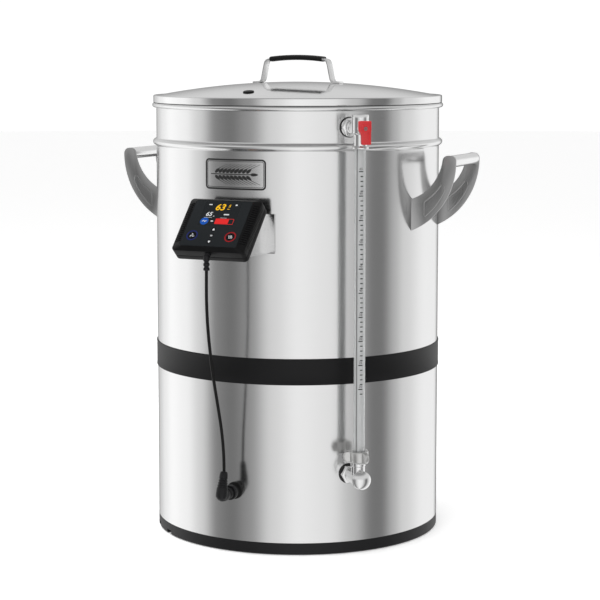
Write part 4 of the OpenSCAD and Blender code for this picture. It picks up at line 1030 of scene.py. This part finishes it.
hex_lower = hexagon(0.0088, tube_side(0.2122, TEE_Z))
tee_barrel = spun("tee_barrel", all_round(
    [(0.0070, -0.0140), (0.0070, 0.0), (0.0104, 0.0), (0.0104, 0.0088), (0.0095, 0.0094),
     (0.0095, 0.0112), (0.0105, 0.0118), (0.0105, 0.0352), (0.0112, 0.0358), (0.0112, 0.0420),
     (0.0105, 0.0428), (0.0098, 0.0438), (0.0080, 0.0440)]), 72)
settled(tee_barrel, tube_side(0.2120, TEE_Z), 30)
tee_branch = spun("tee_branch", all_round(
    [(0.0060, 0.0), (0.0097, 0.0), (0.0097, 0.0180), (0.0104, 0.0186), (0.0105, 0.0194),
     (0.0105, 0.0232), (0.0098, 0.0240), (0.0082, 0.0240)]), 72)
settled(tee_branch, Matrix.Translation(TUBE_OUT * 0.2462 + Vector((0, 0, TEE_Z))), 30)
tee = joined("lower_tee", hex_lower, tee_barrel, tee_branch)
fitted(tee, fitting_steel, "brewer", "cast_steel", "lower_tee")

nut_ring = spun("nut_ring", [
    (0.0084, 0.0), (0.0118, 0.0), (0.0126, 0.0005), (0.0130, 0.0014), (0.0130, 0.0146),
    (0.0126, 0.0155), (0.0116, 0.0160), (0.0094, 0.0160), (0.0084, 0.0156)], 72)
lobes = []
for i in range(3):
    lobe = cut_sheet("lobe", [(0.0, 0.0008), (0.0, 0.0152)]
                     + arc(0.0035, 0.0080, 0.0087, 62, -62, 16), 0.0066, edge=0.0014, steps=4)
    place = (Matrix.Rotation(math.radians(160 + 120 * i), 4, "Z")
             @ Matrix.Translation((0.0098, 0.0033, 0)) @ Matrix.Rotation(math.pi / 2, 4, "X"))
    lobes.append(settled(lobe, place, 40))
wing_nut = joined("wing_nut", nut_ring, *lobes)
settled(wing_nut, Matrix.Translation(TUBE_AT + Vector((0, 0, 0.1403)))
        @ Matrix.Rotation(math.radians(45), 4, "Z"), 40)
nut_cast = grained_finish("nut_cast", (0.66, 0.66, 0.65), 0.38, metallic=1.0, grain=500, depth=0.35,
                          spread=0.06)
fitted(wing_nut, nut_cast, "wing_nut", "cast_steel", "wing_nut")

cap_line = [(0.0080, -0.0070), (0.0080, -0.0003), (0.0118, 0.0), (0.0127, 0.0005), (0.0130, 0.0014)]
cap_line += [p for i in range(3) for p in [
    (0.0130, 0.0016 + 0.0013 * i), (0.0127, 0.0020 + 0.0013 * i), (0.0127, 0.0024 + 0.0013 * i),
    (0.0130, 0.0028 + 0.0013 * i)]]
cap_line += [(0.0130, 0.0058)] + arc(0, -0.006125, 0.0177, 43, 88, 12)
end_cap = spun("end_cap", all_round([p for p in cap_line if p[1] < 0.0117]), 72)
settled(end_cap, tube_side(0.2563, TEE_Z), 30)
fitted(end_cap, fitting_steel, "brewer", "polished_steel", "end_cap")

# ---- Under the kettle's floor, and on it ----
# The cast element with its rod, the pump with its filter, motor and hose, the outlet at the
# rear, the probe, the control box and the mains inlet.

refinished(grained_finish("element_alloy", (0.45, 0.45, 0.46), 0.42, metallic=1.0, depth=0.4),
           "heating_element")
refinished(fitting_steel, "pump_filter", "temperature_probe", "outlet_port")
refinished(grained_finish("pump_black", (0.020, 0.021, 0.023), 0.42, depth=0.25), "pump_housing",
           "control_box")
refinished(grained_finish("impeller_nylon", (0.75, 0.73, 0.66), 0.45), "pump_impeller")
refinished(grained_finish("motor_paint", (0.20, 0.23, 0.26), 0.4, depth=0.3), "pump_motor")
refinished(grained_finish("hose_silicone", (0.82, 0.83, 0.82), 0.3, Transmission_Weight=0.4),
           "pump_hose")
refinished(socket_plastic, "mains_inlet")

# ---- Outlet cap ----
# A knurled black cap on the pump's outlet at the rear of the skirt.

OUTLET_OUT = Vector((math.sin(math.radians(150)), -math.cos(math.radians(150)), 0))
cap_shell = spun("outlet_cap", [
    (0.0081, 0.0), (0.0104, 0.0), (0.0110, 0.0006), (0.0110, 0.0150), (0.0102, 0.0160),
    (0.0, 0.0160), (0.0, 0.0120), (0.0081, 0.0120)], 72)
settled(cap_shell, facing(OUTLET_OUT * 0.2220 + Vector((0, 0, 0.062)), OUTLET_OUT), 30)
fitted(cap_shell, plug_rubber, "brewer", "black_plastic", "outlet_cap")

# ---- Grain basket, plates, pipe and knobs ----
# A stainless basket with a hemmed edge and lifting slots, perforated floor and top plates, an
# overflow pipe with a flat cap, and two black knobs to lift the top plate by.

basket_steel = satin_steel("basket_steel", (0.78, 0.78, 0.78), 0.24)
refinished(basket_steel, "grain_basket", "overflow_pipe")
refinished(grained_finish("perforated_steel", (0.74, 0.74, 0.74), 0.26, metallic=1.0, depth=0.15),
           "basket_floor", "top_plate")
refinished(grained_finish("knob_plastic", (0.016, 0.016, 0.017), 0.4), "top_plate_knobs")

# ---- Floor and light ----
# A plain pale floor in a white room. Broad soft panels stand round it by bearing, under a
# greyer ceiling, and a soft box hangs overhead, which the steel doesn't mirror.

nothing_selected()
bpy.ops.mesh.primitive_circle_add(vertices=96, radius=14, fill_type="NGON")
floor = bpy.context.object
floor.name = "studio_floor"
floor_paint = grained_finish("floor_paint", (0.92, 0.92, 0.92), 0.6, grain=40, depth=0.02,
                             tint=0.01, Emission_Color=(1, 1, 1, 1), Emission_Strength=0.34)
floor.data.materials.append(floor_paint)
floor.visible_glossy = False

PANELS = [(-180, 0.30), (-168, 0.38), (-155, 0.72), (-140, 1.00), (-125, 1.20), (-102, 1.10),
          (-86, 0.80), (-68, 0.24), (-55, 0.18), (-39, 0.32), (-20, 0.80), (0, 1.02), (26, 0.93),
          (45, 0.60), (62, 0.20), (72, 0.19), (85, 0.53), (95, 0.78), (125, 1.04), (152, 1.00),
          (166, 0.20), (180, 0.05)]
BRIGHTEST = 1.5
room = bpy.data.worlds.new("studio_room")
room.use_nodes = True
bpy.context.scene.world = room
tree = room.node_tree
way = step(tree, "TexCoord").outputs["Generated"]
turned = step(tree, "Mapping", Vector=way, Rotation=(0, 0, math.radians(-25))).outputs["Vector"]
parts = step(tree, "SeparateXYZ", Vector=turned).outputs
minus_y = step(tree, "Math", operation="MULTIPLY", first=parts["Y"], second=-1).outputs["Value"]
around = step(tree, "Math", operation="ARCTAN2", first=parts["X"], second=minus_y)
bearing = step(tree, "MapRange", Value=around.outputs["Value"], From_Min=-math.pi,
               From_Max=math.pi)
panels = step(tree, "ValToRGB", Fac=bearing.outputs["Result"])
panels.color_ramp.interpolation = "EASE"
ramp = panels.color_ramp.elements
ramp[0].position, ramp[1].position = 0.0, 1.0
ramp[0].color = ramp[1].color = (PANELS[0][1] / BRIGHTEST,) * 3 + (1,)
for degrees, level in PANELS[1:-1]:
    ramp.new((degrees + 180) / 360).color = (level / BRIGHTEST,) * 3 + (1,)


def higher(low, high):
    """How far a ray's upward slant lies between two values, eased from 0 to 1."""
    return step(tree, "MapRange", interpolation_type="SMOOTHSTEP", Value=parts["Z"],
                From_Min=low, From_Max=high).outputs["Result"]


def mixed(share, colour, grey):
    """Mixes a grey into a colour by a share."""
    return step(tree, "Mix", data_type="RGBA", Factor=share, A=colour,
                B=(grey, grey, grey, 1)).outputs["Result"]


rays = step(tree, "LightPath").outputs
top_share = step(tree, "Math", operation="MULTIPLY", first=higher(0.50, 0.80),
                 second=rays["Is Glossy Ray"]).outputs["Value"]
ceiling = mixed(higher(0.0, 0.30), panels.outputs["Color"], 0.47)
seen_room = mixed(rays["Is Camera Ray"], mixed(top_share, ceiling, 0.20), 0.70)
sky = tree.nodes["Background"]
tree.links.new(seen_room, sky.inputs["Color"])
sky.inputs["Strength"].default_value = BRIGHTEST

lamp_data = bpy.data.lights.new("overhead_box", "AREA")
lamp_data.shape = "RECTANGLE"
lamp_data.size = 2.4
lamp_data.size_y = 2.0
lamp_data.energy = 60
overhead = bpy.data.objects.new("overhead_box", lamp_data)
overhead.location = (-0.4, -0.6, 2.6)
overhead.visible_glossy = False
bpy.context.scene.collection.objects.link(overhead)
